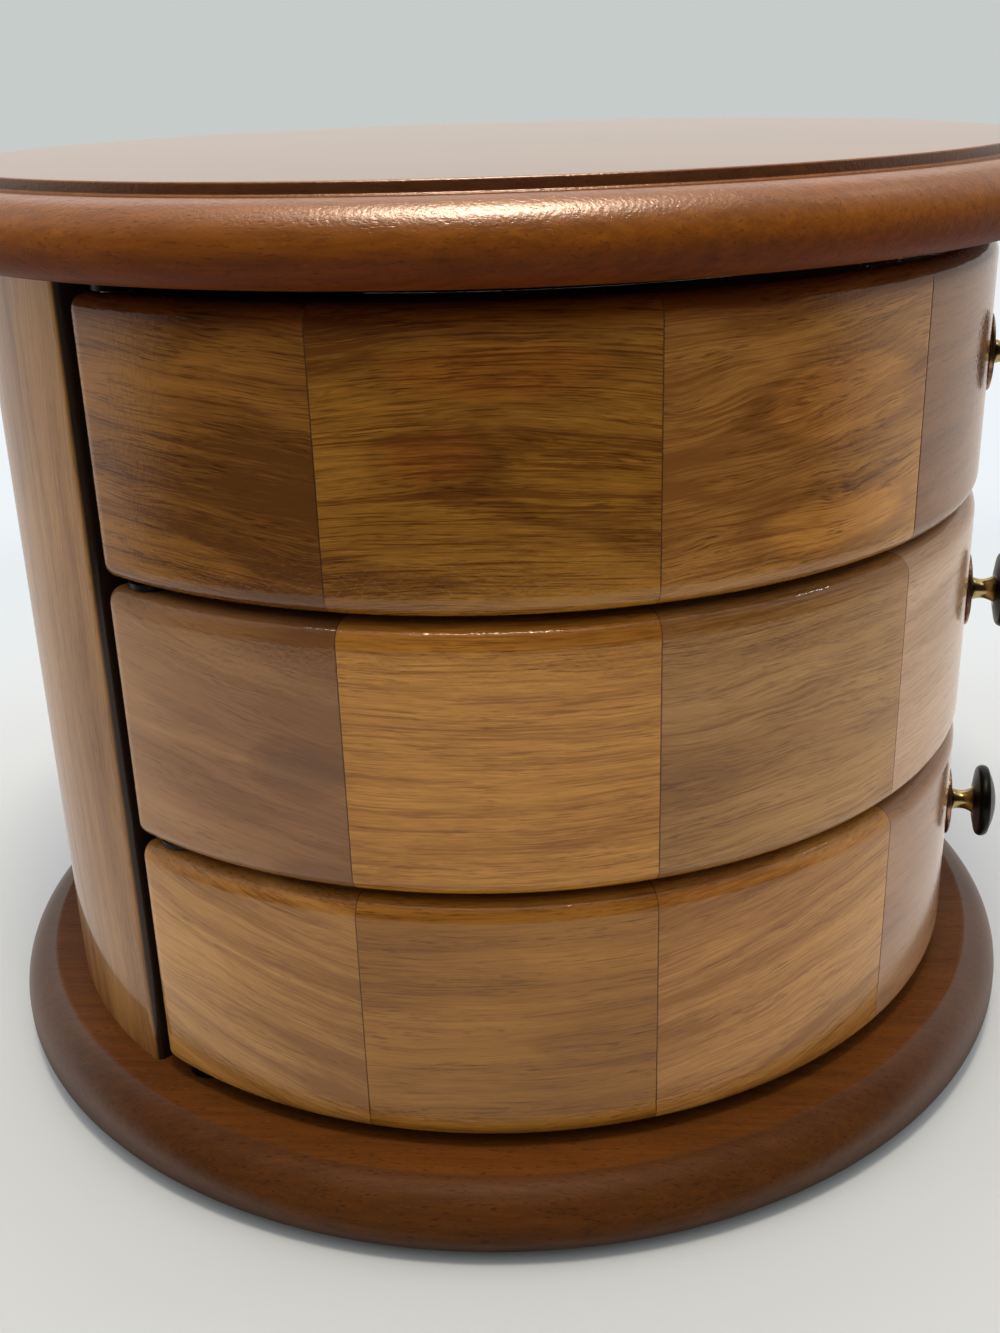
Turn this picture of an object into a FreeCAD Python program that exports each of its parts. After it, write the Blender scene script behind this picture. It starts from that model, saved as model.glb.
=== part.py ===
import FreeCAD, Part
import Sketcher
import math
import os
import re

# Round wooden jewelry box: three drawers with curved fronts stand one above the other
# between a turned base and a turned top, and each swings out on one steel rod at the
# rear left. A fixed wall of upright staves closes the back. The origin is the middle of
# the underside, +Z is up and the knobs face -Y.

doc = FreeCAD.newDocument("swing_drawer_box")
sheet = doc.addObject("Spreadsheet::Sheet", "Sizes")

# Driving sizes in millimetres and degrees: name, value, meaning.
DRIVING = [
    ("body_radius", "90", "outside of drawers and rear wall"),
    ("wall_thickness", "12", "drawer blocks and rear staves, measured radially"),
    ("front_half_angle", "122.5", "drawer front, from its middle to either end"),
    ("block_count", "8", "wooden blocks in one drawer front"),
    ("top_first_seam_angle", "-3.1", "top drawer, seam of blocks 1 and 2 from its even place"),
    ("top_second_seam_angle", "-3.2", "top drawer, seam of blocks 2 and 3"),
    ("top_third_seam_angle", "-2.3", "top drawer, seam of blocks 3 and 4"),
    ("middle_first_seam_angle", "-2.4", "middle drawer, seam of blocks 1 and 2"),
    ("middle_second_seam_angle", "-3", "middle drawer, seam of blocks 2 and 3"),
    ("middle_third_seam_angle", "-2.7", "middle drawer, seam of blocks 3 and 4"),
    ("bottom_first_seam_angle", "-2.4", "bottom drawer, seam of blocks 1 and 2"),
    ("bottom_second_seam_angle", "-3", "bottom drawer, seam of blocks 2 and 3"),
    ("bottom_third_seam_angle", "-2.4", "bottom drawer, seam of blocks 3 and 4"),
    ("even_seam_angle", "0", "all other seams and both ends of a front"),
    ("stave_count", "3", "upright staves in the rear wall"),
    ("side_gap", "1.8", "between drawer ends and rear wall, along the outside"),
    ("base_radius", "101.8", "turned base"),
    ("base_thickness", "12.5", "wood of the base"),
    ("base_upper_round", "7", "upper rounding of the base edge"),
    ("base_lower_round", "4.5", "lower rounding of the base edge"),
    ("felt_thickness", "1", "felt under the base"),
    ("felt_margin", "1.5", "bare flat ring outside the felt"),
    ("top_radius", "101.8", "turned top"),
    ("top_thickness", "11.8", "bullnosed part of the top"),
    ("top_edge_round", "5.85", "both roundings of the bullnose"),
    ("step_inset", "8.2", "raised face of the top, inside the bullnose"),
    ("step_height", "1.7", "height of the raised face"),
    ("step_round", "0.35", "eased edge of the raised face"),
    ("drawer_height", "43.6", "one drawer"),
    ("drawer_gap", "1.3", "between two drawers"),
    ("bottom_gap", "1.7", "under the lowest drawer"),
    ("top_gap", "2.2", "over the highest drawer"),
    ("edge_round", "3.2", "outer edges of a drawer front"),
    ("inner_round", "0.8", "inner upper edge of a drawer front"),
    ("post_round", "1.5", "upright outer edges of the rear wall"),
    ("groove_depth", "1.6", "groove for the drawer floor"),
    ("groove_rise", "2.5", "groove above the drawer's lower edge"),
    ("floor_thickness", "3", "drawer floor"),
    ("fit_clearance", "0.2", "round a piece in its groove or hole"),
    ("lining_thickness", "1", "felt lining of a drawer"),
    ("lining_margin", "0.4", "between the lining and the walls"),
    ("back_thickness", "6", "back of a drawer"),
    ("back_gap", "2.7", "between drawer backs and the partition"),
    ("partition_thickness", "6", "upright panel in front of the rear space"),
    ("bumper_radius", "4", "felt bumper"),
    ("bumper_play", "0.3", "between a bumper and a closed drawer"),
    ("bumper_offset", "50", "bumper from the middle plane"),
    ("rod_radius", "2.25", "pivot rod"),
    ("rod_play", "0.08", "between rod and bush"),
    ("rod_socket", "8", "rod inside the top"),
    ("rod_head_radius", "5", "head of the rod"),
    ("rod_head_height", "2.8", "head of the rod"),
    ("rod_recess", "3", "recess for the head under the base"),
    ("hinge_depth", "6", "rod axis from the outside of the front"),
    ("hinge_offset", "6", "rod axis from the end of the front"),
    ("bush_radius", "3.2", "outside of a bush"),
    ("bush_length", "8", "one bush"),
    ("bore_radius", "2.7", "bore between the two bushes of a drawer"),
    ("washer_radius", "4.2", "pivot washer"),
    ("washer_play", "0.2", "between a washer and a drawer"),
    ("screw_radius", "2", "shank of a base screw"),
    ("screw_head_radius", "3.8", "head of a base screw"),
    ("screw_head_height", "2.2", "countersunk head"),
    ("screw_length", "32", "base screw with its point"),
    ("screw_point", "4", "point of a base screw"),
    ("screw_tip", "0.4", "radius at the end of the point"),
    ("fixing_angle", "40", "outer screws and dowels, in degrees from the middle"),
    ("dowel_radius", "3", "dowel between rear wall and top"),
    ("dowel_reach", "8", "dowel in either piece"),
    ("plate_radius", "7", "round plate behind a knob"),
    ("plate_thickness", "0.9", "round plate behind a knob"),
    ("plate_round", "0.5", "front edge of the plate"),
    ("stem_radius", "2.6", "both ends of the knob's stem"),
    ("stem_height", "4.6", "stem of the knob"),
    ("stem_hollow", "3.8", "radius of the hollow in the stem"),
    ("head_radius", "6.3", "knob's head where its rim begins"),
    ("head_slope", "0.7", "rise of the head's underside"),
    ("rim_height", "2.2", "rim of the head"),
    ("rim_bulge", "1.16", "radius of the rounded rim"),
    ("dome_rise", "1.5", "crown of the head above its rim"),
    ("bolt_radius", "1.6", "knob screw"),
    ("bolt_head_radius", "3.5", "head of the knob screw"),
    ("bolt_head_height", "2.2", "head of the knob screw"),
    ("bolt_reach", "5", "knob screw inside the knob"),
    ("bolt_relief", "0.5", "knob's bore past the end of the screw"),
    ("divider_thickness", "4", "wooden divider"),
    ("divider_height", "24", "wooden divider"),
    ("top_divider_set", "20", "divider of the top drawer, forward of the middle"),
    ("middle_divider_set", "5", "divider of the middle drawer, forward of the middle"),
]

# Sizes that follow from the driving ones, as formulas of the sheet.
DERIVED = [
    ("block_angle", "2 * front_half_angle / block_count"),
    ("gap_angle", "side_gap / body_radius * 180 / pi"),
    ("rear_half_angle", "180 - front_half_angle - gap_angle"),
    ("stave_angle", "2 * rear_half_angle / stave_count"),
    ("inner_radius", "body_radius - wall_thickness"),
    ("groove_radius", "inner_radius + groove_depth"),
    ("groove_top", "groove_rise + floor_thickness"),
    ("base_top", "felt_thickness + base_thickness"),
    ("drawer_pitch", "drawer_height + drawer_gap"),
    ("bottom_level", "base_top + bottom_gap"),
    ("middle_level", "bottom_level + drawer_pitch"),
    ("top_level", "middle_level + drawer_pitch"),
    ("top_underside", "top_level + drawer_height + top_gap"),
    ("wall_height", "top_underside - base_top"),
    ("felt_radius", "base_radius - base_lower_round - felt_margin"),
    ("step_radius", "top_radius - step_inset"),
    ("back_rear", "-inner_radius * cos(front_half_angle * 1deg)"),
    ("back_front", "back_rear - back_thickness"),
    ("partition_front", "back_rear + back_gap"),
    ("floor_radius", "groove_radius - fit_clearance"),
    ("floor_back", "back_front + groove_depth - fit_clearance"),
    ("lining_radius", "inner_radius - lining_margin"),
    ("lining_back", "back_front - lining_margin"),
    ("lining_top", "groove_top + lining_thickness"),
    ("divider_radius", "inner_radius - fit_clearance"),
    ("hinge_ring", "body_radius - hinge_depth"),
    ("hinge_angle", "270 - front_half_angle + asin(hinge_offset / hinge_ring) / 1deg"),
    ("hinge_x", "hinge_ring * cos(hinge_angle * 1deg)"),
    ("hinge_y", "hinge_ring * sin(hinge_angle * 1deg)"),
    ("bush_bore", "rod_radius + rod_play"),
    ("rod_start", "felt_thickness + rod_recess - rod_head_height"),
    ("rod_length", "top_underside + rod_socket - rod_start"),
    ("fixing_ring", "body_radius - wall_thickness / 2"),
    ("dowel_length", "2 * dowel_reach"),
    ("head_start", "stem_height + head_slope"),
    ("head_end", "head_start + rim_height"),
    ("knob_length", "head_end + dome_rise"),
    ("dome_radius", "(head_radius ^ 2 + dome_rise ^ 2) / (2 * dome_rise)"),
    ("knob_rise", "drawer_height / 2"),
    ("knob_seat", "-body_radius - plate_thickness"),
    ("bolt_hole", "bolt_radius + fit_clearance"),
    ("bolt_seat", "sqrt(inner_radius ^ 2 - bolt_head_radius ^ 2)"),
    ("bolt_end", "bolt_head_height + body_radius - bolt_seat + plate_thickness + bolt_reach"),
    ("bumper_thickness", "back_gap - bumper_play"),
]

NAMES = {row[0] for row in DRIVING + DERIVED}
LEVELS = {"bottom": "bottom_level", "middle": "middle_level", "top": "top_level"}
FRONT = 270
REAR = 90
CLOSE = 1e-4
NEAR = 0.01
SEAMS = ("first", "second", "third")
pieces = []


def fill_sheet():
    """Write driving sizes as plain numbers and the others as formulas."""
    rows = DRIVING + [(name, "=" + formula, "derived") for name, formula in DERIVED]
    for row, (name, content, meaning) in enumerate(rows, start=1):
        sheet.set("A%d" % row, name)
        sheet.set("B%d" % row, content)
        sheet.setAlias("B%d" % row, name)
        sheet.set("C%d" % row, meaning)
    doc.recompute()


def size(name):
    """One size of the sheet as a number."""
    return float(sheet.get(name))


def bind(thing, links):
    """Tie properties to formulas of size names, so that they follow the sheet."""
    def full(word):
        return "Sizes." + word.group() if word.group() in NAMES else word.group()

    for target, formula in links.items():
        thing.setExpression(target, re.sub("[a-z_]+", full, formula))


def keep(thing, label):
    """Name a finished sub-part and put it on the list that is written out."""
    thing.Label = label
    pieces.append(thing)
    return thing


# Sketches and features of the turned and cut pieces


def new_sketch(body, plane, turn=0.0):
    """Sketch on one of the body's own planes, turned about +Z for the upright ones."""
    sketch = body.newObject("Sketcher::SketchObject", "Sketch")
    support = next(feature for feature in body.Origin.OriginFeatures if feature.Role == plane)
    sketch.AttachmentSupport = [(support, "")]
    sketch.MapMode = "FlatFace"
    upright = FreeCAD.Rotation(FreeCAD.Vector(0, 1, 0), turn)
    sketch.AttachmentOffset = FreeCAD.Placement(FreeCAD.Vector(), upright)
    return sketch


def tie_point(sketch, edge, end, across, up):
    """Hold one end of a sketch edge at two sizes; an empty name keeps it on the axis."""
    for kind, name, axis in (("DistanceX", across, -2), ("DistanceY", up, -1)):
        if name:
            row = sketch.addConstraint(Sketcher.Constraint(kind, -1, 1, edge, end, size(name)))
            bind(sketch, {"Constraints[%d]" % row: name})
        else:
            sketch.addConstraint(Sketcher.Constraint("PointOnObject", edge, end, axis))


def arc_between(start, finish, radius, leftward):
    """Arc of less than half a turn, whose centre lies left or right of the way it runs."""
    chord = finish - start
    side = FreeCAD.Vector(-chord.y, chord.x, 0).normalize() * (1 if leftward else -1)
    centre = (start + finish) * 0.5 + side * math.sqrt(radius ** 2 - chord.Length ** 2 / 4)
    ends = [math.atan2(point.y - centre.y, point.x - centre.x) for point in (start, finish)]
    if not leftward:
        ends.reverse()
    return Part.ArcOfCircle(Part.Circle(centre, FreeCAD.Vector(0, 0, 1), radius), *ends)


def draw_outline(sketch, corners, arcs=()):
    """Closed outline through named corners; arcs maps an edge to its radius and side."""
    arcs = dict(arcs)
    points = [FreeCAD.Vector(size(a) if a else 0, size(b) if b else 0, 0) for a, b in corners]
    count = len(corners)
    for edge in range(count):
        start, finish = points[edge], points[(edge + 1) % count]
        if edge in arcs:
            name, leftward = arcs[edge]
            sketch.addGeometry(arc_between(start, finish, size(name), leftward), False)
        else:
            sketch.addGeometry(Part.LineSegment(start, finish), False)
    first = [2 if edge in arcs and not arcs[edge][1] else 1 for edge in range(count)]
    for edge, (across, up) in enumerate(corners):
        after = (edge + 1) % count
        joint = ("Coincident", edge, 3 - first[edge], after, first[after])
        sketch.addConstraint(Sketcher.Constraint(*joint))
        tie_point(sketch, edge, first[edge], across, up)
    for edge, (name, leftward) in arcs.items():
        row = sketch.addConstraint(Sketcher.Constraint("Radius", edge, size(name)))
        bind(sketch, {"Constraints[%d]" % row: name})


def draw_circle(sketch, across, up, radius):
    """Circle whose centre and radius are sizes of the sheet."""
    centre = FreeCAD.Vector(size(across) if across else 0, size(up) if up else 0, 0)
    sketch.addGeometry(Part.Circle(centre, FreeCAD.Vector(0, 0, 1), size(radius)), False)
    tie_point(sketch, 0, 3, across, up)
    row = sketch.addConstraint(Sketcher.Constraint("Radius", 0, size(radius)))
    bind(sketch, {"Constraints[%d]" % row: radius})


def revolve(body, sketch, angle="360"):
    """Turn a sketch about +Z, evenly to both sides of its plane."""
    feature = body.newObject("PartDesign::Revolution", "Revolution")
    feature.Profile = sketch
    feature.ReferenceAxis = (sketch, ["V_Axis"])
    feature.Midplane = angle != "360"
    bind(feature, {"Angle": angle})
    return feature


def pad(body, sketch, length):
    """Raise a sketch upwards."""
    feature = body.newObject("PartDesign::Pad", "Pad")
    feature.Profile = sketch
    bind(feature, {"Length": length})
    return feature


def drill(body, sketch, depth=None):
    """Cut a sketch right through to both sides, or upwards to a depth; it must remove wood."""
    doc.recompute()
    before = body.Shape.Volume
    feature = body.newObject("PartDesign::Pocket", "Pocket")
    feature.Profile = sketch
    if depth is None:
        feature.Type = "ThroughAll"
        feature.Midplane = True
    else:
        feature.Reversed = True
        bind(feature, {"Length": depth})
    doc.recompute()
    if body.Shape.Volume > before - CLOSE:
        raise ValueError("a pocket of %s cut nothing" % body.Label)
    return feature


def round_edges(body, wanted, radius):
    """Round every edge of the body's last feature that the test picks out."""
    doc.recompute()
    last = body.Tip
    chosen = ["Edge%d" % number for number, edge in enumerate(last.Shape.Edges, start=1) if wanted(edge)]
    feature = body.newObject("PartDesign::Fillet", "Fillet")
    feature.Base = (last, chosen)
    bind(feature, {"Radius": radius})


def is_ring(edge, radius, height):
    """True for a circle or arc about the axis with this radius and height."""
    if not isinstance(edge.Curve, Part.Circle):
        return False
    centre = edge.Curve.Center
    on_axis = math.hypot(centre.x, centre.y) < CLOSE
    return on_axis and abs(centre.z - height) < CLOSE and abs(edge.Curve.Radius - radius) < CLOSE


def is_upright(edge, radius, direction):
    """True for an upright edge at this radius and this direction from the axis."""
    low, high = edge.Vertexes[0].Point, edge.Vertexes[-1].Point
    turn = math.radians(direction)
    foot = FreeCAD.Vector(radius * math.cos(turn), radius * math.sin(turn), low.z)
    return abs(high.z - low.z) > 1 and (low - foot).Length < NEAR


# Primitives and booleans of the plain pieces


def cylinder(radius, height, across="0", deep="0", up="0"):
    """Upright round bar standing at a place."""
    solid = doc.addObject("Part::Cylinder", "Cylinder")
    bind(solid, {"Radius": radius, "Height": height})
    bind(solid, {"Placement.Base.x": across, "Placement.Base.y": deep, "Placement.Base.z": up})
    return solid


def cone(lower, upper, height, across, deep, up):
    """Upright cone or countersunk head."""
    solid = doc.addObject("Part::Cone", "Cone")
    bind(solid, {"Radius1": lower, "Radius2": upper, "Height": height})
    bind(solid, {"Placement.Base.x": across, "Placement.Base.y": deep, "Placement.Base.z": up})
    return solid


def slab(low, high):
    """Block between two corners, each three formulas."""
    solid = doc.addObject("Part::Box", "Box")
    for side, target, a, b in zip(("Length", "Width", "Height"), "xyz", low, high):
        bind(solid, {side: "(%s) - (%s)" % (b, a), "Placement.Base." + target: a})
    return solid


def cut(base, tool):
    solid = doc.addObject("Part::Cut", "Cut")
    solid.Base = base
    solid.Tool = tool
    return solid


def shared(base, tool):
    solid = doc.addObject("Part::Common", "Common")
    solid.Base = base
    solid.Tool = tool
    return solid


def group(members, joined=False):
    """Several solids as one object, joined into one solid or left apart."""
    if joined:
        solid = doc.addObject("Part::MultiFuse", "Fuse")
        solid.Shapes = members
    else:
        solid = doc.addObject("Part::Compound", "Group")
        solid.Links = members
    return solid


def tube(outer, inner, height, up):
    """Ring round the pivot rod."""
    return cut(
        cylinder(outer, height, "hinge_x", "hinge_y", up),
        cylinder(inner, height, "hinge_x", "hinge_y", up),
    )


def chord_panel(radius, front, rear, low, high):
    """Upright panel across the round body, its ends shaped to the wall."""
    plank = slab(("-" + radius, front, low), (radius, rear, high))
    return shared(plank, cylinder(radius, "(%s) - (%s)" % (high, low), up=low))


# The fixed case


def make_rod():
    """Headed steel rod, put in from below through the base and all three drawers."""
    body = doc.addObject("PartDesign::Body", "Rod")
    sketch = new_sketch(body, "XZ_Plane")
    draw_outline(sketch, [
        ("", ""), ("rod_head_radius", ""), ("rod_head_radius", "rod_head_height"),
        ("rod_radius", "rod_head_height"), ("rod_radius", "rod_length"), ("", "rod_length"),
    ])
    revolve(body, sketch)
    bind(body, {"Placement.Base.x": "hinge_x", "Placement.Base.y": "hinge_y"})
    bind(body, {"Placement.Base.z": "rod_start"})
    return keep(body, "pivot_rod")


def fixing_places():
    """Where screws and dowels meet the staves, as formulas for x and y."""
    for turn in ("- fixing_angle", "", "+ fixing_angle"):
        direction = "((90 %s) * 1deg)" % turn
        yield "fixing_ring * cos" + direction, "fixing_ring * sin" + direction


def make_screws():
    """Countersunk screws up through the base into the staves."""
    screws = []
    for across, deep in fixing_places():
        neck = "felt_thickness + screw_head_height"
        point = "felt_thickness + screw_length - screw_point"
        head = cone("screw_head_radius", "screw_radius", "screw_head_height", across, deep, "felt_thickness")
        shank = cylinder("screw_radius", "%s - (%s)" % (point, neck), across, deep, neck)
        tip = cone("screw_radius", "screw_tip", "screw_point", across, deep, point)
        screws.append(group([head, shank, tip], joined=True))
    return keep(group(screws), "base_screws")


def make_dowels():
    """Dowels that pin the top to the staves."""
    foot = "top_underside - dowel_reach"
    dowels = [cylinder("dowel_radius", "dowel_length", x, y, foot) for x, y in fixing_places()]
    return keep(group(dowels), "top_dowels")


def make_base(rod, screws):
    """Turned base: a flat ledge, a large upper and a smaller lower rounding, and its holes."""
    body = doc.addObject("PartDesign::Body", "BaseDisc")
    sketch = new_sketch(body, "XY_Plane")
    draw_circle(sketch, "", "", "base_radius")
    pad(body, sketch, "base_thickness")
    rim, high = size("base_radius"), size("base_thickness")
    round_edges(body, lambda edge: is_ring(edge, rim, high), "base_upper_round")
    round_edges(body, lambda edge: is_ring(edge, rim, 0), "base_lower_round")
    bind(body, {"Placement.Base.z": "felt_thickness"})
    room = "rod_head_radius + fit_clearance"
    recess = cylinder(room, "rod_recess", "hinge_x", "hinge_y", "felt_thickness")
    keep(cut(cut(cut(body, recess), rod), screws), "base_plate")
    keep(cylinder("felt_radius", "felt_thickness"), "base_felt")


def make_top(rod, dowels):
    """Turned top: a bullnosed disc with a raised flat face inside its edge."""
    body = doc.addObject("PartDesign::Body", "TopDisc")
    sketch = new_sketch(body, "XY_Plane")
    draw_circle(sketch, "", "", "top_radius")
    pad(body, sketch, "top_thickness")
    for height in (0, size("top_thickness")):
        round_edges(body, lambda edge: is_ring(edge, size("top_radius"), height), "top_edge_round")
    face = new_sketch(body, "XY_Plane")
    draw_circle(face, "", "", "step_radius")
    pad(body, face, "top_thickness + step_height")
    whole = size("top_thickness") + size("step_height")
    round_edges(body, lambda edge: is_ring(edge, size("step_radius"), whole), "step_round")
    bind(body, {"Placement.Base.z": "top_underside"})
    keep(cut(cut(body, rod), dowels), "top_panel")


def make_rear_wall(screws, dowels):
    """Upright staves that carry the top, and the flat partition between their ends."""
    count = int(size("stave_count"))
    half = size("rear_half_angle")
    for number in range(count):
        body = doc.addObject("PartDesign::Body", "Stave")
        middle = REAR - half + (number + 0.5) * size("stave_angle")
        sketch = new_sketch(body, "XZ_Plane", middle)
        draw_outline(sketch, [
            ("inner_radius", ""), ("body_radius", ""),
            ("body_radius", "wall_height"), ("inner_radius", "wall_height"),
        ])
        revolve(body, sketch, "stave_angle")
        ends = [REAR - half] * (number == 0) + [REAR + half] * (number == count - 1)
        for end in ends:
            round_edges(body, lambda edge: is_upright(edge, size("body_radius"), end), "post_round")
        bind(body, {"Placement.Base.z": "base_top"})
        keep(cut(cut(body, screws), dowels), "rear_stave_%d" % (number + 1))
    rear = "partition_front + partition_thickness"
    panel = chord_panel("inner_radius", "partition_front", rear, "base_top", "top_underside")
    keep(panel, "rear_partition")


def make_washers():
    """Washers on the rod: on the base, between the drawers and under the top."""
    thin = "drawer_gap - 2 * washer_play"
    places = [
        ("bottom_gap - washer_play", "base_top"),
        (thin, "middle_level - drawer_gap + washer_play"),
        (thin, "top_level - drawer_gap + washer_play"),
        ("top_gap - washer_play", "top_underside - top_gap + washer_play"),
    ]
    rings = [tube("washer_radius", "rod_radius", height, up) for height, up in places]
    keep(group(rings), "pivot_washers")


def make_bumpers():
    """Felt bumpers on the partition, one for the free end of each drawer."""
    bumpers = []
    for level in LEVELS.values():
        place = ("bumper_offset", "partition_front", level + " + knob_rise")
        pad_disc = cylinder("bumper_radius", "bumper_thickness", *place)
        pad_disc.Placement.Rotation = FreeCAD.Rotation(FreeCAD.Vector(1, 0, 0), 90)
        bumpers.append(pad_disc)
    keep(group(bumpers), "drawer_bumpers")


# The drawers


def seam_shift(drawer, seam):
    """Name of the size that turns a seam of the front from its even place."""
    if 1 <= seam <= len(SEAMS):
        return "%s_%s_seam_angle" % (drawer, SEAMS[seam - 1])
    return "even_seam_angle"


def make_block(drawer, number):
    """One block of a drawer front, cut from a ring: grooved for the floor and rounded outside."""
    level = LEVELS[drawer]
    count = int(size("block_count"))
    even = FRONT - size("front_half_angle") + number * size("block_angle")
    before, after = seam_shift(drawer, number), seam_shift(drawer, number + 1)
    start = even + size(before)
    finish = even + size("block_angle") + size(after)
    body = doc.addObject("PartDesign::Body", "Block")
    sketch = new_sketch(body, "XZ_Plane", (start + finish) / 2)
    draw_outline(sketch, [
        ("inner_radius", ""), ("body_radius", ""),
        ("body_radius", "drawer_height"), ("inner_radius", "drawer_height"),
        ("inner_radius", "groove_top"), ("groove_radius", "groove_top"),
        ("groove_radius", "groove_rise"), ("inner_radius", "groove_rise"),
    ])
    revolve(body, sketch, "block_angle + %s - %s" % (after, before))

    outer, inner, height = size("body_radius"), size("inner_radius"), size("drawer_height")
    ends = [start] * (number == 0) + [finish] * (number == count - 1)

    def is_outside(edge):
        rings = is_ring(edge, outer, 0) or is_ring(edge, outer, height)
        return rings or any(is_upright(edge, outer, end) for end in ends)

    round_edges(body, is_outside, "edge_round")
    round_edges(body, lambda edge: is_ring(edge, inner, height), "inner_round")

    if start - CLOSE < FRONT < finish + CLOSE:
        hole = new_sketch(body, "XZ_Plane")
        draw_circle(hole, "", "knob_rise", "bolt_hole")
        drill(body, hole)
    if number == 0:
        bore = new_sketch(body, "XY_Plane")
        draw_circle(bore, "hinge_x", "hinge_y", "bore_radius")
        drill(body, bore)
        for lift in ("0", "drawer_height - bush_length"):
            seat = new_sketch(body, "XY_Plane")
            bind(seat, {"AttachmentOffset.Base.z": lift})
            draw_circle(seat, "hinge_x", "hinge_y", "bush_radius")
            drill(body, seat, "bush_length")
    bind(body, {"Placement.Base.z": level})
    keep(body, "%s_front_block_%d" % (drawer, number + 1))


def make_box(drawer):
    """Back, floor and lining of one drawer."""
    level = LEVELS[drawer]
    floor_low = level + " + groove_rise"
    floor_high = level + " + groove_top"
    back = chord_panel("inner_radius", "back_front", "back_rear", level, level + " + drawer_height")
    groove = slab(
        ("-inner_radius", "back_front", floor_low),
        ("inner_radius", "back_front + groove_depth", floor_high),
    )
    keep(cut(back, groove), drawer + "_back_wall")
    floor = chord_panel("floor_radius", "-floor_radius", "floor_back", floor_low, floor_high)
    keep(floor, drawer + "_floor_panel")
    lining_high = level + " + lining_top"
    lining = chord_panel("lining_radius", "-lining_radius", "lining_back", floor_high, lining_high)
    keep(lining, drawer + "_felt_lining")


def make_divider(drawer, forward):
    """Wooden divider standing on the lining, from wall to wall."""
    foot = LEVELS[drawer] + " + lining_top"
    front = "-%s - divider_thickness / 2" % forward
    rear = "-%s + divider_thickness / 2" % forward
    board = chord_panel("divider_radius", front, rear, foot, foot + " + divider_height")
    keep(board, drawer + "_divider")


def make_bushes(drawer):
    """Two brass bushes, at the lower and the upper end of the drawer's bore."""
    level = LEVELS[drawer]
    lower = tube("bush_radius", "bush_bore", "bush_length", level)
    upper = tube("bush_radius", "bush_bore", "bush_length", level + " + drawer_height - bush_length")
    keep(group([lower, upper]), drawer + "_hinge_bushes")


def face_front(body, deep, drawer):
    """Turn a piece made along +Z to point out of the drawer front at knob height."""
    body.Placement.Rotation = FreeCAD.Rotation(FreeCAD.Vector(1, 0, 0), 90)
    bind(body, {"Placement.Base.y": deep, "Placement.Base.z": LEVELS[drawer] + " + knob_rise"})


def make_knob(drawer):
    """Turned metal knob: a waisted stem and a domed head with a rounded rim."""
    body = doc.addObject("PartDesign::Body", "Knob")
    sketch = new_sketch(body, "XZ_Plane")
    corners = [
        ("", ""), ("stem_radius", ""), ("stem_radius", "stem_height"),
        ("head_radius", "head_start"), ("head_radius", "head_end"), ("", "knob_length"),
    ]
    arcs = {1: ("stem_hollow", False), 3: ("rim_bulge", True), 4: ("dome_radius", True)}
    draw_outline(sketch, corners, arcs)
    revolve(body, sketch)
    bore = new_sketch(body, "XY_Plane")
    draw_circle(bore, "", "", "bolt_radius")
    drill(body, bore, "bolt_reach + bolt_relief")
    face_front(body, "knob_seat", drawer)
    keep(body, drawer + "_knob")


def make_plate(drawer):
    """Round metal plate between the knob and the wood."""
    body = doc.addObject("PartDesign::Body", "Plate")
    sketch = new_sketch(body, "XZ_Plane")
    draw_outline(sketch, [
        ("bolt_hole", ""), ("plate_radius", ""),
        ("plate_radius", "plate_thickness"), ("bolt_hole", "plate_thickness"),
    ])
    revolve(body, sketch)
    front = size("plate_thickness")
    round_edges(body, lambda edge: is_ring(edge, size("plate_radius"), front), "plate_round")
    face_front(body, "-body_radius", drawer)
    keep(body, drawer + "_knob_plate")


def make_bolt(drawer):
    """Screw from inside the drawer into the knob."""
    body = doc.addObject("PartDesign::Body", "Bolt")
    sketch = new_sketch(body, "XZ_Plane")
    draw_outline(sketch, [
        ("", ""), ("bolt_head_radius", ""), ("bolt_head_radius", "bolt_head_height"),
        ("bolt_radius", "bolt_head_height"), ("bolt_radius", "bolt_end"), ("", "bolt_end"),
    ])
    revolve(body, sketch)
    face_front(body, "bolt_head_height - bolt_seat", drawer)
    keep(body, drawer + "_knob_screw")


def make_drawer(drawer):
    for number in range(int(size("block_count"))):
        make_block(drawer, number)
    make_box(drawer)
    make_bushes(drawer)
    make_knob(drawer)
    make_plate(drawer)
    make_bolt(drawer)


def check_model():
    """Stop if anything in the document failed or a sub-part is not a sound solid."""
    for thing in doc.Objects:
        if "Invalid" in thing.State or "Error" in thing.State:
            raise ValueError("%s failed" % thing.Label)
    for piece in pieces:
        if piece.Shape.isNull() or not piece.Shape.isValid() or not piece.Shape.Solids:
            raise ValueError("%s is not a sound solid" % piece.Label)


def write_parts():
    os.makedirs("parts", exist_ok=True)
    for piece in pieces:
        piece.Shape.exportStep("parts/%s.step" % piece.Label)
        solids = len(piece.Shape.Solids)
        print("%-26s %d solid(s) %10.1f mm3" % (piece.Label, solids, piece.Shape.Volume))


fill_sheet()
pivot_rod = make_rod()
base_screws = make_screws()
top_dowels = make_dowels()
make_base(pivot_rod, base_screws)
make_rear_wall(base_screws, top_dowels)
make_top(pivot_rod, top_dowels)
make_washers()
make_bumpers()
for drawer_name in LEVELS:
    make_drawer(drawer_name)
make_divider("top", "top_divider_set")
make_divider("middle", "middle_divider_set")
doc.recompute()
check_model()
write_parts()
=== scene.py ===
from math import acos, cos, pi, radians, sin, sqrt, tan

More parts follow.
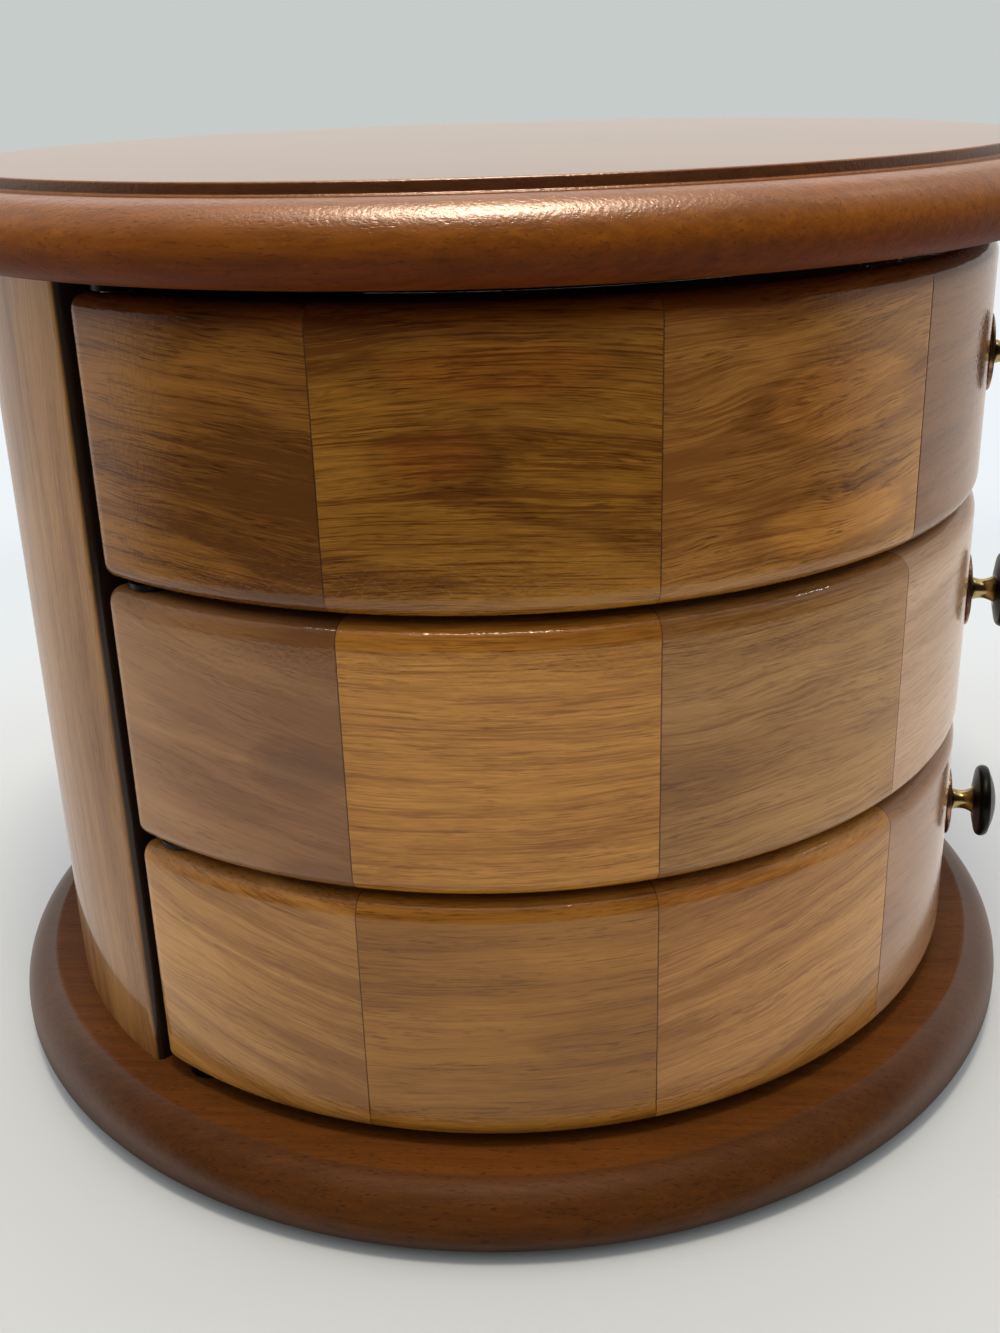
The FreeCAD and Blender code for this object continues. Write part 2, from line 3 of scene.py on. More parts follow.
import bpy
import numpy as np
from mathutils import Matrix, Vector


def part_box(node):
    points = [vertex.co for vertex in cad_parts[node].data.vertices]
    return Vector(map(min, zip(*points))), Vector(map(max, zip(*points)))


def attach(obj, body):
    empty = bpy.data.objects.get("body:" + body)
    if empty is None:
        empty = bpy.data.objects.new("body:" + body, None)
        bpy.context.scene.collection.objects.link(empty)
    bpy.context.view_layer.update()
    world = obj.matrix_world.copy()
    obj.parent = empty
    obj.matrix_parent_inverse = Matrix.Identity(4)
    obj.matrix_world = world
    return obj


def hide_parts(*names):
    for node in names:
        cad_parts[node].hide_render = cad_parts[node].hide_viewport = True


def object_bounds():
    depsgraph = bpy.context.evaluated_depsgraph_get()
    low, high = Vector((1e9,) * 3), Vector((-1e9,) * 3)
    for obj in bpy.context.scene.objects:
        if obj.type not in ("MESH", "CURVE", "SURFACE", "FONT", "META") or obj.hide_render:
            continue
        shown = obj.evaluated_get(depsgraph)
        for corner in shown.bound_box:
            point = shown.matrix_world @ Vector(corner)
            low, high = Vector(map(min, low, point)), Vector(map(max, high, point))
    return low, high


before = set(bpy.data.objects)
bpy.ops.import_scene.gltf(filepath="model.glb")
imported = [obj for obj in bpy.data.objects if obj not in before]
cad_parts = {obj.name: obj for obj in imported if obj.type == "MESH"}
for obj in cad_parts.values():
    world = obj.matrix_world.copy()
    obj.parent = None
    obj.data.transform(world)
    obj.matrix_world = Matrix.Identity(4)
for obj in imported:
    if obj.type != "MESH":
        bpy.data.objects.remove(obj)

cadLow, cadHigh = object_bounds()

# Sizes are in millimetres, angles in degrees counted from +X, and heights from the table.
unit = 0.001
perMetre = 1000.0
frontMiddle = 270
rearMiddle = 90
sharpAngle = 34
drawerNames = ("top", "middle", "bottom")
lipRadius = perMetre * min(-cadLow.x, -cadLow.y, cadHigh.x, cadHigh.y) - 0.01


def nodeBox(node):
    # Lowest and highest corner of one solid, in millimetres.
    return [np.array(corner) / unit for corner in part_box(node)]


levels = {name: nodeBox(name + "_front_block_4")[0][2] for name in drawerNames}


# Meshes


def addObject(name, data):
    made = bpy.data.objects.new(name, data)
    bpy.context.scene.collection.objects.link(made)
    return made


def addMesh(name, points, faces):
    mesh = bpy.data.meshes.new(name)
    mesh.from_pydata((points * unit).tolist(), [], faces)
    return mesh


def shadeMesh(mesh):
    mesh.shade_smooth()
    mesh.set_sharp_from_angle(angle=radians(sharpAngle))


def makePiece(name, body, shape, material, slotName, replaced):
    # One piece from its points and faces, which are turned outward if the closed shape comes out inside out.
    points, faces = shape
    corners = np.array([(f[0], f[k], f[k + 1]) for f in faces for k in range(1, len(f) - 1)])
    a, b, c = points[corners].transpose(1, 0, 2)
    if (a * np.cross(b, c)).sum() < 0:
        faces = [f[::-1] for f in faces]
    mesh = addMesh(name, points, faces)
    mesh.validate()
    shadeMesh(mesh)
    mesh.materials.append(material)
    piece = addObject(name, mesh)
    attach(piece, body)
    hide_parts(*replaced)
    return piece


def drawerPiece(label, name, shape, material, slotName, node):
    # A piece that rides on its drawer and stands for one solid of it.
    return makePiece(label + name, label + "_drawer", shape, material, slotName, [label + node])


def filletPath(corners, steps=8, support=0.25):
    # A path through (x, y, radius) corners: each corner becomes an arc tangent to both of its lines,
    # with one more point just before and after the arc, so that flat parts stay flat when shaded.
    path = []
    for n, (x, y, radius) in enumerate(corners):
        here = np.array((x, y), float)
        if not radius:
            path.append(here[None])
            continue
        back = np.array(corners[n - 1][:2], float) - here
        ahead = np.array(corners[n + 1][:2], float) - here
        back /= np.linalg.norm(back)
        ahead /= np.linalg.norm(ahead)
        half = acos(float(np.clip(back @ ahead, -1, 1))) / 2
        reach = radius / tan(half)
        middle = here + (back + ahead) / np.linalg.norm(back + ahead) * radius / sin(half)
        first, last = here + back * reach - middle, here + ahead * reach - middle
        turn = pi - 2 * half
        share = np.linspace(0, 1, steps + 1)[:, None]
        arc = middle + (np.sin((1 - share) * turn) * first + np.sin(share * turn) * last) / sin(turn)
        path += [(here + back * (reach + support))[None], arc, (here + ahead * (reach + support))[None]]
    return np.concatenate(path)


def discPath(radius, low, high, lowerRound, upperRound, steps, support=0.25):
    # The profile of a flat disc with a rounded lower and upper edge.
    corners = [(0, low, 0), (radius, low, lowerRound), (radius, high, upperRound), (0, high, 0)]
    return filletPath(corners, steps, support)


def bandFaces(rows, count):
    # Four-sided faces between each row of points and the next; every row is closed round.
    here = np.arange(count)
    after = (here + 1) % count
    row = np.arange(rows - 1)[:, None] * count
    faces = np.stack([row + here, row + after, row + count + after, row + count + here], -1)
    return faces.reshape(-1, 4).tolist()


def turnedSurface(profile, steps=240, outline=None):
    # A profile of (radius, height) from axis to axis, turned about Z: point = (r cos a, r sin a, h).
    # outline(a) widens or narrows each direction, so that the same formula also gives a flat-sided sheet.
    angle = np.arange(steps) * 2 * pi / steps
    across = profile[1:-1, :1] * (np.ones(steps) if outline is None else outline(angle))
    height = profile[1:-1, 1:] + 0 * across
    ring = np.stack([across * np.cos(angle), across * np.sin(angle), height], -1).reshape(-1, 3)
    points = np.vstack([ring, [[0, 0, profile[0, 1]], [0, 0, profile[-1, 1]]]])
    rows = len(profile) - 2
    here = np.arange(steps)
    after = (here + 1) % steps
    low = np.stack([here * 0 + rows * steps, after, here], -1)
    high = np.stack([here * 0 + rows * steps + 1, (rows - 1) * steps + here, (rows - 1) * steps + after], -1)
    return points, bandFaces(rows, steps) + low.tolist() + high.tolist()


def sectorSurface(loop, angles, shapeSection):
    # A closed loop of (depth, height) carried round the axis: point = ((R - depth) cos a, (R - depth) sin a, height).
    # shapeSection(k) gives the loop as it is at the k-th angle, and the two ends are closed by flat caps.
    turn = np.radians(angles)[:, None]
    sections = np.stack([shapeSection(k) for k in range(len(angles))])
    radius = bodyRadius - sections[:, :, 0]
    points = np.stack([radius * np.cos(turn), radius * np.sin(turn), sections[:, :, 1]], -1).reshape(-1, 3)
    here = np.arange(len(loop))
    last = (len(angles) - 1) * len(loop)
    return points, bandFaces(len(angles), len(loop)) + [here[::-1].tolist(), (last + here).tolist()]


def chordBoard(radius, front, rear, low, high):
    # A flat board across a circle: straight in front and at the back, its ends on the circle x = sqrt(R^2 - y^2).
    y = np.linspace(front, rear, 6)
    x = np.sqrt(radius ** 2 - y ** 2)
    outline = np.concatenate([np.stack([x, y], -1), np.stack([-x, y], -1)[::-1]])
    here = np.arange(len(outline))
    points = np.concatenate([np.column_stack([outline, np.full(len(outline), z)]) for z in (low, high)])
    return points, bandFaces(2, len(outline)) + [here[::-1].tolist(), (len(outline) + here).tolist()]


def softenEdges(piece, width):
    bevel = piece.modifiers.new("easedEdges", "BEVEL")
    bevel.width = width * unit
    bevel.segments = 2
    bevel.limit_method = "ANGLE"
    bevel.angle_limit = radians(50)


def frontward(shape, label, seat, across=0.0):
    # Turns a piece made along +Z so that it points along -Y, from the seat and at half the height of a drawer.
    points, faces = shape
    height = points[:, 1] + levels[label] + drawer["height"] / 2
    return np.column_stack([points[:, 0] + across, seat - points[:, 2], height]), faces


# Nodes


def sign(operation, turned=False):
    # What a wire does at one sign; turned is for a number that stands before the wire.
    return lambda self, other: combine(operation, *((other, self) if turned else (self, other)))


class Wire:
    # One output of a node. The signs + - * / between wires and numbers put in Math nodes.
    def __init__(self, socket):
        self.socket, self.tree = socket, socket.id_data

    __add__, __sub__, __mul__, __truediv__ = map(sign, ("ADD", "SUBTRACT", "MULTIPLY", "DIVIDE"))
    __rsub__, __rtruediv__ = sign("SUBTRACT", True), sign("DIVIDE", True)


def fill(inputs, values):
    # Links or sets each named input; a colour may be given without its alpha.
    for label, value in values.items():
        target = inputs[label]
        if isinstance(value, Wire):
            value.tree.links.new(value.socket, target)
        elif target.type == "RGBA" and len(value) == 3:
            target.default_value = (*value, 1)
        else:
            target.default_value = value


def put(tree, kind, values=None, **settings):
    # Adds a shader node of a kind and gives its outputs as wires, by number and by name.
    node = tree.nodes.new("ShaderNode" + kind)
    count = len(tree.nodes)
    node.location = (220 * (count // 5), -190 * (count % 5))
    for label, value in settings.items():
        setattr(node, label, value)
    fill(node.inputs, values or {})
    wires = [Wire(socket) for socket in node.outputs]
    return {**dict(enumerate(wires)), **{wire.socket.name: wire for wire in wires}}


def treeOf(values):
    return next(value.tree for value in values if isinstance(value, Wire))


def combine(operation, *values):
    return put(treeOf(values), "Math", dict(enumerate(values)), operation=operation)[0]


def clamped(wire):
    # Keeps the result of the last sign between 0 and 1.
    wire.socket.node.use_clamp = True
    return wire


def vectorMath(operation, *vectors, output="Vector"):
    return put(treeOf(vectors), "VectorMath", dict(enumerate(vectors)), operation=operation)[output]


def axes(vector):
    parts = put(vector.tree, "SeparateXYZ", {0: vector})
    return [parts[n] for n in range(3)]


def together(x, y, z):
    return put(x.tree, "CombineXYZ", {0: x, 1: y, 2: z})[0]


def placed(vector, turn=(0, 0, 0), shift=(0, 0, 0), scale=1.0):
    # The vector scaled, then turned, then shifted.
    values = {"Vector": vector, "Location": shift, "Rotation": [radians(t) for t in turn], "Scale": [scale] * 3}
    return put(vector.tree, "Mapping", values)[0]


def remap(value, low, high, fromLow=0.0, toHigh=1.0):
    # A soft step from one value at low to another at high.
    values = {"Value": value, "From Min": low, "From Max": high, "To Min": fromLow, "To Max": toHigh}
    return put(value.tree, "MapRange", values, interpolation_type="SMOOTHSTEP")[0]


def blend(share, a, b, mode="MIX"):
    return put(treeOf((share, a, b)), "Mix", {0: share, 6: a, 7: b}, data_type="RGBA", blend_type=mode)[2]


def tinted(colour, tone):
    return blend(1.0, colour, tone, "MULTIPLY")


def noiseAt(vector, stretch, detail=2.0, roughness=0.5):
    # Noise on a vector in millimetres; stretch is features per millimetre along X and Y, and along Z as along Y.
    scaled = vectorMath("MULTIPLY", vector, (*stretch, stretch[1])[:3])
    values = {"Vector": scaled, "Scale": 1.0, "Detail": detail, "Roughness": roughness}
    return put(vector.tree, "TexNoise", values, noise_dimensions="3D")[0]


def makeGroup(build, inputs, outputs):
    # A shared node group: build turns its inputs, in their order, into the list of its outputs.
    group = bpy.data.node_groups.new(build.__name__, "ShaderNodeTree")
    for way, names in (("INPUT", inputs), ("OUTPUT", outputs)):
        for name in names:
            kind = "Vector" if name in vectorNames else "Color" if name in colourNames else "Float"
            group.interface.new_socket(name, in_out=way, socket_type="NodeSocket" + kind)
    given = [Wire(socket) for socket in group.nodes.new("NodeGroupInput").outputs]
    made = build(*given[:len(inputs)])
    fill(group.nodes.new("NodeGroupOutput").inputs, dict(zip(outputs, made)))
    return group


def useEffect(name, values):
    return put(values["Vector"].tree, "Group", values, node_tree=effects[name])


def picked(look, names):
    # Some values of a look, under the names that the inputs of an effect have.
    return {name: look[name.lower()] for name in names.split()}


# Shared effects


def ringSpace(vector, radius, level):
    # Object coordinates about the axis, as (arc, height, depth) in millimetres.
    x, y, z = axes(vector)
    reach = vectorMath("LENGTH", together(x, y, 0.0), output="Value")
    arc = combine("ARCTAN2", y, x) * radius
    height = z * perMetre - level
    depth = radius - reach * perMetre
    return [together(arc, height, depth), arc, height, depth]


def boardGrain(vector, dark, light, seed, band, strength, wave, bend, streak, pore, cloud, lean):
    # Timber with its grain along X: slow growth bands, streaks, pores and a cloudy change of tone.
    x, y, z = axes(vector)
    shift = together(seed * 137.1, seed * 41.7, seed * 23.3)
    moved = vectorMath("ADD", vector, shift)
    slow = noiseAt(moved, (0.016, 0.05), 1.5) - 0.5
    ripple = noiseAt(moved, (0.075, 0.17), 1.0) - 0.5
    bow = combine("POWER", combine("ABSOLUTE", x / 20.0), 2.0)
    across = y + (slow * 4.0 + ripple * 0.9) * wave + bow * bend
    grain = vectorMath("ADD", together(x, across, z), shift)

    phase = (across + z * 0.35) / band + noiseAt(grain, (0.01, 0.13), 2.0) * 2.6
    swell = noiseAt(grain, (0.02, 0.11), 1.0) * strength
    bands = combine("SINE", phase * (2 * pi)) * swell
    coarse = noiseAt(grain, (0.09, 0.95), 3.0, 0.62) - 0.5
    fine = noiseAt(grain, (0.2, 3.9), 2.0, 0.6) - 0.5
    streaks = (coarse * 0.65 + fine * 1.6) * streak
    clouds = noiseAt(moved, (0.024, 0.06), 2.0) - 0.5
    zone = remap(noiseAt(grain, (0.014, 0.055), 1.0), 0.46, 0.52) - 0.5
    clouds = (clouds * 1.5 + zone * 0.45) * cloud + x / 22.0 * lean
    tone = clamped((bands + streaks) + (clouds + 0.5))
    threads = remap(noiseAt(grain, (0.045, 2.3), 3.0, 0.65), 0.5, 0.64)
    tone = clamped(tone - threads * 0.6 * streak)

    dashes = remap(noiseAt(grain, (0.3, 4.2), 1.0), 0.55, 0.68)
    pores = dashes * remap(noiseAt(grain, (0.07, 0.3), 1.0), 0.36, 0.62)
    colour = blend(tone, dark, light)
    colour = blend(pores * pore, colour, tinted(colour, (0.42, 0.36, 0.32)))
    return [colour, fine * 0.4 - pores, pores]


def stainedGrain(vector, dark, light, red, cloud, streak, fleck):
    # Dark stained timber: cloudy tone, soft streaks along X, fine dark flecks and a few reddish ones.
    clouds = noiseAt(vector, (0.014, 0.04), 3.0) - 0.5
    streaks = noiseAt(vector, (0.06, 0.8), 3.0, 0.6) - 0.5
    tone = clamped((clouds * cloud + streaks * streak) * 2.0 + 0.5)
    darkFlecks = remap(noiseAt(vector, (0.55, 2.6), 2.0), 0.56, 0.72)
    redFlecks = remap(noiseAt(vector, (0.8, 3.4), 1.0), 0.62, 0.75)
    colour = blend(darkFlecks * fleck, blend(tone, dark, light), dark)
    peel = noiseAt(vector, (1.7, 1.9), 1.5)
    return [blend(redFlecks * 0.35, colour, red), peel - darkFlecks * 0.3]


def figurePatch(vector, colour, centre, share, tone):
    # An oval patch of the timber's figure: its inside takes one tone, with a thin darker rim round it.
    offset = vectorMath("MULTIPLY", vectorMath("SUBTRACT", vector, centre), share)
    wobble = noiseAt(vector, (0.09, 0.45), 3.0, 0.6) - 0.5
    distance = vectorMath("LENGTH", offset, output="Value") + wobble * 0.8
    inside = remap(distance, 1.1, 0.72)
    rim = clamped(remap(distance, 1.4, 1.08) - inside)
    toned = blend(inside, colour, tinted(colour, tone))
    return [blend(rim * 0.5, toned, tinted(colour, (0.66, 0.56, 0.48)))]


def jointLine(vector, arc, half):
    # 1 on the thin dark glue line at either end of a block, 0 elsewhere.
    ragged = noiseAt(vector, (0.2, 0.5), 2.0) * 0.17
    return [combine("LESS_THAN", half - combine("ABSOLUTE", arc), ragged + 0.03)]


def dustSpecks(vector, spacing, size):
    # Sparse pale specks caught in the lacquer.
    cell = put(vector.tree, "TexVoronoi", {"Vector": vector, "Scale": 1.0 / spacing})
    pick = put(vector.tree, "SeparateColor", {0: cell["Color"]})[0]
    return [combine("LESS_THAN", cell["Distance"] * spacing, size * clamped(pick * 1.8 - 0.8))]


def feltFibres(vector, dark, light):
    # Short matted fibres: a cloudy tone, fine hairs in two directions, and their height.
    along, across = (noiseAt(vector, stretch, 3.0, 0.7) for stretch in ((0.9, 4.5, 4.5), (4.5, 0.9, 4.5)))
    hairs = combine("MAXIMUM", along, across)
    cloud = noiseAt(vector, (0.06, 0.06), 2.0)
    return [blend(clamped((hairs - 0.55) * 2.4 + cloud), dark, light), hairs]


def tarnish(vector, metal, dark, amount):
    # Old metal: cloudy dark tarnish with small brighter rubbed spots.
    cloud = noiseAt(vector, (0.35, 0.35), 3.0, 0.6)
    spots = noiseAt(vector, (2.2, 2.2), 2.0)
    mask = remap(cloud * 0.7 + spots * 0.3 + amount - 0.5, 0.38, 0.62)
    return [blend(mask, metal, dark), mask * 0.16 + 0.22, spots]


# The inputs and outputs of each effect. Those named here are vectors or colours, and the rest are single numbers.
vectorNames = ("Vector", "Centre", "Share")
colourNames = ("Color", "Dark", "Light", "Red", "Metal", "Tone")
effects = {build.__name__: makeGroup(build, inputs.split(), outputs.split()) for build, inputs, outputs in (
    (ringSpace, "Vector Radius Level", "Vector Arc Height Depth"),
    (boardGrain, "Vector Dark Light Seed Band Strength Wave Bend Streak Pore Cloud Lean", "Color Height Pores"),
    (stainedGrain, "Vector Dark Light Red Cloud Streak Fleck", "Color Height"),
    (figurePatch, "Vector Color Centre Share Tone", "Color"),
    (jointLine, "Vector Arc Half", "Mask"),
    (dustSpecks, "Vector Spacing Size", "Mask"),
    (feltFibres, "Vector Dark Light", "Color Height"),
    (tarnish, "Vector Metal Dark Amount", "Color Roughness Height"),
)}
print("shared effects ready")


# Timbers and finishes

# The share of painted shade, a darker tone, that the upper edge of each front takes over the reach below its top;
# most on the top drawer, under the top's overhang.
lacquer = {
    "coat": 0.85, "bump": 0.05, "ripple": 0.45, "paintedShade": {"top": 1.0, "middle": 0.4, "bottom": 0.36},
    "paintedShadeTone": (0.43, 0.29, 0.16), "paintedShadeReach": (6.0, 1.5), "line": 0.58, "lineTone": (0.035, 0.015, 0.005),
    "bareTone": (0.4, 0.26, 0.14), "specks": 0.6, "speckSpacing": 11.0, "speckSize": 0.13,
    "speckTone": (0.8, 0.74, 0.66),
}
lacquered = {"Roughness": 0.5, "Specular IOR Level": 0.04, "Coat Roughness": 0.06, "Coat IOR": 1.45}

# How far the dark and the light lines of each timber lie from the board's own colour, and how strong its pores are.
woods = {
    "olive_walnut": ((0.52, 0.44, 0.4), (1.42, 1.46, 1.7), 0.8),
    "olive_oak": ((0.53, 0.43, 0.38), (1.4, 1.56, 1.9), 0.7),
    "figured_teak": ((0.58, 0.5, 0.44), (1.42, 1.55, 1.85), 0.8),
    "red_walnut": ((0.68, 0.62, 0.58), (1.28, 1.32, 1.36), 0.45),
    "light_tan": ((0.62, 0.54, 0.44), (1.32, 1.44, 1.75), 0.6),
    "mid_brown": ((0.6, 0.52, 0.44), (1.34, 1.48, 1.8), 0.6),
    "golden_oak": ((0.62, 0.54, 0.44), (1.32, 1.42, 1.7), 0.45),
}


def newMaterial(name):
    # A material, its node tree and its Object coordinates.
    material = bpy.data.materials.new(name)
    material.use_nodes = True
    tree = material.node_tree
    tree.nodes["Principled BSDF"].location = (1500, 0)
    tree.nodes["Material Output"].location = (1800, 0)
    return material, tree, put(tree, "TexCoord")["Object"]


def setShader(material, values):
    fill(material.node_tree.nodes["Principled BSDF"].inputs, values)
    return material


def bumped(height, strength, distance=0.0001):
    return put(height.tree, "Bump", {"Height": height, "Strength": strength, "Distance": distance})[0]


def blockMaterial(label, number):
    # The finish of one block: grain round the axis, glue lines at its ends, painted shade along its upper edge,
    # lacquer outside, bare wood inside.
    look = boards[label][number]
    dark, light, pore = woods[look["wood"]]
    start, end = blockSpan(label, number)
    halfHeight = drawer["height"] / 2
    material, tree, place = newMaterial("%sBoard%d" % (label, number + 1))
    ring = useEffect("ringSpace", {
        "Vector": placed(place, (0, 0, -(start + end) / 2)), "Radius": bodyRadius,
        "Level": levels[label] + halfHeight,
    })
    board = useEffect("boardGrain", {
        "Vector": placed(ring["Vector"], (0, 0, look["tilt"])), "Dark": np.multiply(look["colour"], dark),
        "Light": np.multiply(look["colour"], light), "Pore": pore,
        **picked(look, "Seed Band Strength Wave Bend Streak Cloud Lean"),
    })
    colour = board["Color"]
    for centre, size, tone in figures.get((label, number), ()):
        colour = useEffect("figurePatch", {
            "Vector": ring["Vector"], "Color": colour, "Centre": (*centre, 0),
            "Share": (1 / size[0], 1 / size[1], 0), "Tone": tone,
        })["Color"]
    # Painted shade: the upper edge of the front darkens towards its top, as under the overhang above.
    low, high = lacquer["paintedShadeReach"]
    upper = remap(ring["Height"], halfHeight - low, halfHeight - high) * lacquer["paintedShade"][label]
    colour = blend(upper, colour, tinted(colour, lacquer["paintedShadeTone"]))
    half = radians(end - start) * bodyRadius / 2
    line = useEffect("jointLine", {"Vector": ring["Vector"], "Arc": ring["Arc"], "Half": half})["Mask"]
    colour = blend(line * lacquer["line"], colour, lacquer["lineTone"])
    specks = useEffect("dustSpecks", {
        "Vector": ring["Vector"], "Spacing": lacquer["speckSpacing"], "Size": lacquer["speckSize"],
    })["Mask"]
    colour = blend(specks * lacquer["specks"], colour, lacquer["speckTone"])
    inside = remap(ring["Depth"], case["wall"] - 0.9, case["wall"] - 0.5)
    return setShader(material, {
        **lacquered, "Base Color": blend(inside * 0.45, colour, lacquer["bareTone"]),
        "Roughness": inside * 0.25 + lacquered["Roughness"], "Coat Weight": (1.0 - inside) * lacquer["coat"],
        "Normal": bumped(board["Height"], lacquer["bump"]),
        "Coat Normal": bumped(noiseAt(ring["Vector"], (1.3, 1.3), 1.0), lacquer["ripple"]),
    })


def staveMaterial(name, look, middle, half, openSide):
    # Upright grain in the rear wall; openSide is the end that faces a drawer, -1 or 1, and is painted near black
    # there as shade in the gap.
    material, tree, place = newMaterial(name)
    ring = useEffect("ringSpace", {
        "Vector": placed(place, (0, 0, -middle)), "Radius": bodyRadius, "Level": staves["level"],
    })
    board = useEffect("boardGrain", {
        "Vector": together(ring["Height"], ring["Arc"], ring["Depth"]), **picked(staves, "Dark Light"),
        **picked(look, "Seed Band Wave Bend"), "Strength": 0.25, "Streak": 0.45, "Pore": 0.5, "Cloud": 0.5,
    })
    line = useEffect("jointLine", {"Vector": ring["Vector"], "Arc": ring["Arc"], "Half": half})["Mask"]
    colour = blend(line * 0.7, board["Color"], staves["lineTone"])
    # Painted shade: the end that faces a drawer is painted near black, for the dark gap beside it.
    gapShade = remap(ring["Arc"] * openSide, half - 1.1, half - 0.4)
    return setShader(material, {
        **lacquered, "Base Color": blend(gapShade * 0.94, colour, staves["gapShadeTone"]),
        "Coat Weight": staves["coat"], "Normal": bumped(board["Height"], lacquer["bump"]),
    })


def stainedMaterial(name, look):
    # Reddish brown stain under lacquer: smoother on the flat faces, pebbled and darker on the roundings.
    material, tree, place = newMaterial(name)
    stain = useEffect("stainedGrain", {
        "Vector": placed(place, (0, 0, look["grainTurn"]), look["shift"], perMetre),
        **picked(look, "Dark Light Red Cloud Streak Fleck"),
    })
    upward = combine("ABSOLUTE", axes(put(tree, "NewGeometry")["Normal"])[2])
    flat = remap(upward, 0.985, 0.9995)
    height = axes(place)[2] * perMetre
    colour = blend(flat, tinted(stain["Color"], [look["edgeTone"]] * 3), stain["Color"])
    # Painted shade on the lower part of the top's rim, and a painted bluish floor reflection on the lowest part of
    # the base.
    colour = blend(remap(height, *look["lowerPaintedLightFrom"]), colour, tinted(colour, look["lowerPaintedLightTone"]))
    # Painted shade on the upright step of the top, standing for the dark room that it reflects.
    step = remap(height, *look["stepShadeFrom"]) * (1.0 - remap(upward, 0.3, 0.7))
    colour = blend(step, colour, tinted(colour, [look["stepShadeTone"]] * 3))
    thin = 1.0 - remap(height, *look["coatFrom"]) * look["lowerCoat"]
    facing = put(tree, "LayerWeight", {"Blend": 0.5})["Facing"]
    grazing = remap(facing, 0.22, 0.5) * (1.0 - flat)
    normal = bumped(stain["Height"] * (1.05 - flat), look["bump"])
    return setShader(material, {
        "Base Color": colour, "Roughness": 0.5, "Specular IOR Level": 0.05, "Coat IOR": 1.5,
        "Coat Weight": clamped(thin * look["coat"] + grazing * look["grazingCoat"]),
        "Coat Roughness": flat * (look["flatGloss"] - look["edgeGloss"]) + look["edgeGloss"],
        "Normal": normal, "Coat Normal": normal,
    })


def bareWood(name, look):
    # Sanded wood inside the drawers, without lacquer.
    material, tree, place = newMaterial(name)
    board = useEffect("boardGrain", {
        "Vector": placed(place, look["turn"], scale=perMetre), **picked(look, "Seed Dark Light Band"),
        "Strength": 0.4, "Wave": 1.5, "Streak": 0.55, "Pore": 0.35, "Cloud": 0.4,
    })
    return setShader(material, {
        "Base Color": board["Color"], "Roughness": board["Pores"] * 0.2 + 0.55, "Specular IOR Level": 0.3,
        "Normal": bumped(board["Height"], 0.25),
    })


def feltMaterial(name, look):
    material, tree, place = newMaterial(name)
    fibres = useEffect("feltFibres", {"Vector": placed(place, scale=perMetre), **picked(look, "Dark Light")})
    return setShader(material, {
        "Base Color": fibres["Color"], "Roughness": 0.95, "Specular IOR Level": 0.15, "Sheen Weight": look["sheen"],
        "Sheen Roughness": 0.5, "Normal": bumped(fibres["Height"], 0.6, 0.0002),
    })


def metalMaterial(name, look):
    # Metal with tarnish; with brightTo it turns dark beyond that place along Y, as on a handled knob.
    material, tree, place = newMaterial(name)
    vector = placed(place, scale=perMetre)
    amount = look["tarnish"]
    if "brightTo" in look:
        dark = remap(axes(vector)[1], look["brightTo"] + 0.4, look["brightTo"] - 0.4)
        amount = dark * (look["headTarnish"] - look["tarnish"]) + look["tarnish"]
    metal = useEffect("tarnish", {"Vector": vector, "Metal": look["bright"], "Dark": look["dark"], "Amount": amount})
    return setShader(material, {
        "Base Color": metal["Color"], "Metallic": 1.0, "Roughness": metal["Roughness"],
        "Normal": bumped(metal["Height"], look["bump"]),
    })


# The case

# lipRise lifts the underside of the top's lip: from this radius on, by this much at the rim.
case = {
    "bodyRadius": 90.0, "wall": 12.0, "frontHalf": 122.5, "rearHalf": 56.354,
    "baseLow": 1.0, "baseTop": 13.5, "baseUpperRound": 7.0, "baseLowerRound": 4.5,
    "topLow": 150.8, "topShoulder": 162.6, "topRound": 5.85, "topLowerRound": 5.2, "lipRise": (91.5, 1.1),
    "stepRadius": 93.6, "topHigh": 164.3, "stepRound": 0.35,
    "partition": [corner[1] for corner in nodeBox("rear_partition")],
}
bodyRadius = case["bodyRadius"]
innerRadius = bodyRadius - case["wall"]

# The From pairs are heights over which the lower painted light (painted shade under the top's rim, a painted bluish
# floor reflection low on the base), the step's painted shade and the thin coat set in.
stainedLook = {
    "top": {
        "dark": (0.11, 0.028, 0.001), "light": (0.34, 0.105, 0.006), "red": (0.34, 0.09, 0.03), "cloud": 0.45,
        "streak": 0.5, "fleck": 0.6, "edgeTone": 0.92, "lowerPaintedLightFrom": (160.0, 153.5),
        "lowerPaintedLightTone": (0.44, 0.27, 0.12), "stepShadeFrom": (162.2, 162.7), "stepShadeTone": 0.42, "coat": 1.0,
        "coatFrom": (160.8, 157.6), "lowerCoat": 0.93, "grazingCoat": 0.0, "flatGloss": 0.08, "edgeGloss": 0.33,
        "bump": 0.6, "grainTurn": 97.0, "shift": (0, 0, 0),
    },
    "base": {
        "dark": (0.047, 0.015, 0.003), "light": (0.157, 0.05, 0.007), "red": (0.24, 0.055, 0.02), "cloud": 0.5,
        "streak": 0.5, "fleck": 0.7, "edgeTone": 0.66, "lowerPaintedLightFrom": (7.0, 1.0),
        "lowerPaintedLightTone": (0.85, 0.98, 1.3), "stepShadeFrom": (90.0, 91.0), "stepShadeTone": 1.0, "coat": 0.03,
        "coatFrom": (12.0, 8.0), "lowerCoat": 0.2, "grazingCoat": 1.0, "flatGloss": 0.2, "edgeGloss": 0.5,
        "bump": 0.35, "grainTurn": 84.0, "shift": (40, 25, 7),
    },
}

baseRounds = (case["baseLowerRound"], case["baseUpperRound"])
basePath = discPath(lipRadius, case["baseLow"], case["baseTop"], *baseRounds, 14)
baseMaterial = stainedMaterial("stainedBase", stainedLook["base"])
makePiece("basePlate", "case", turnedSurface(basePath, 300), baseMaterial, "stained_mahogany", ["base_plate"])

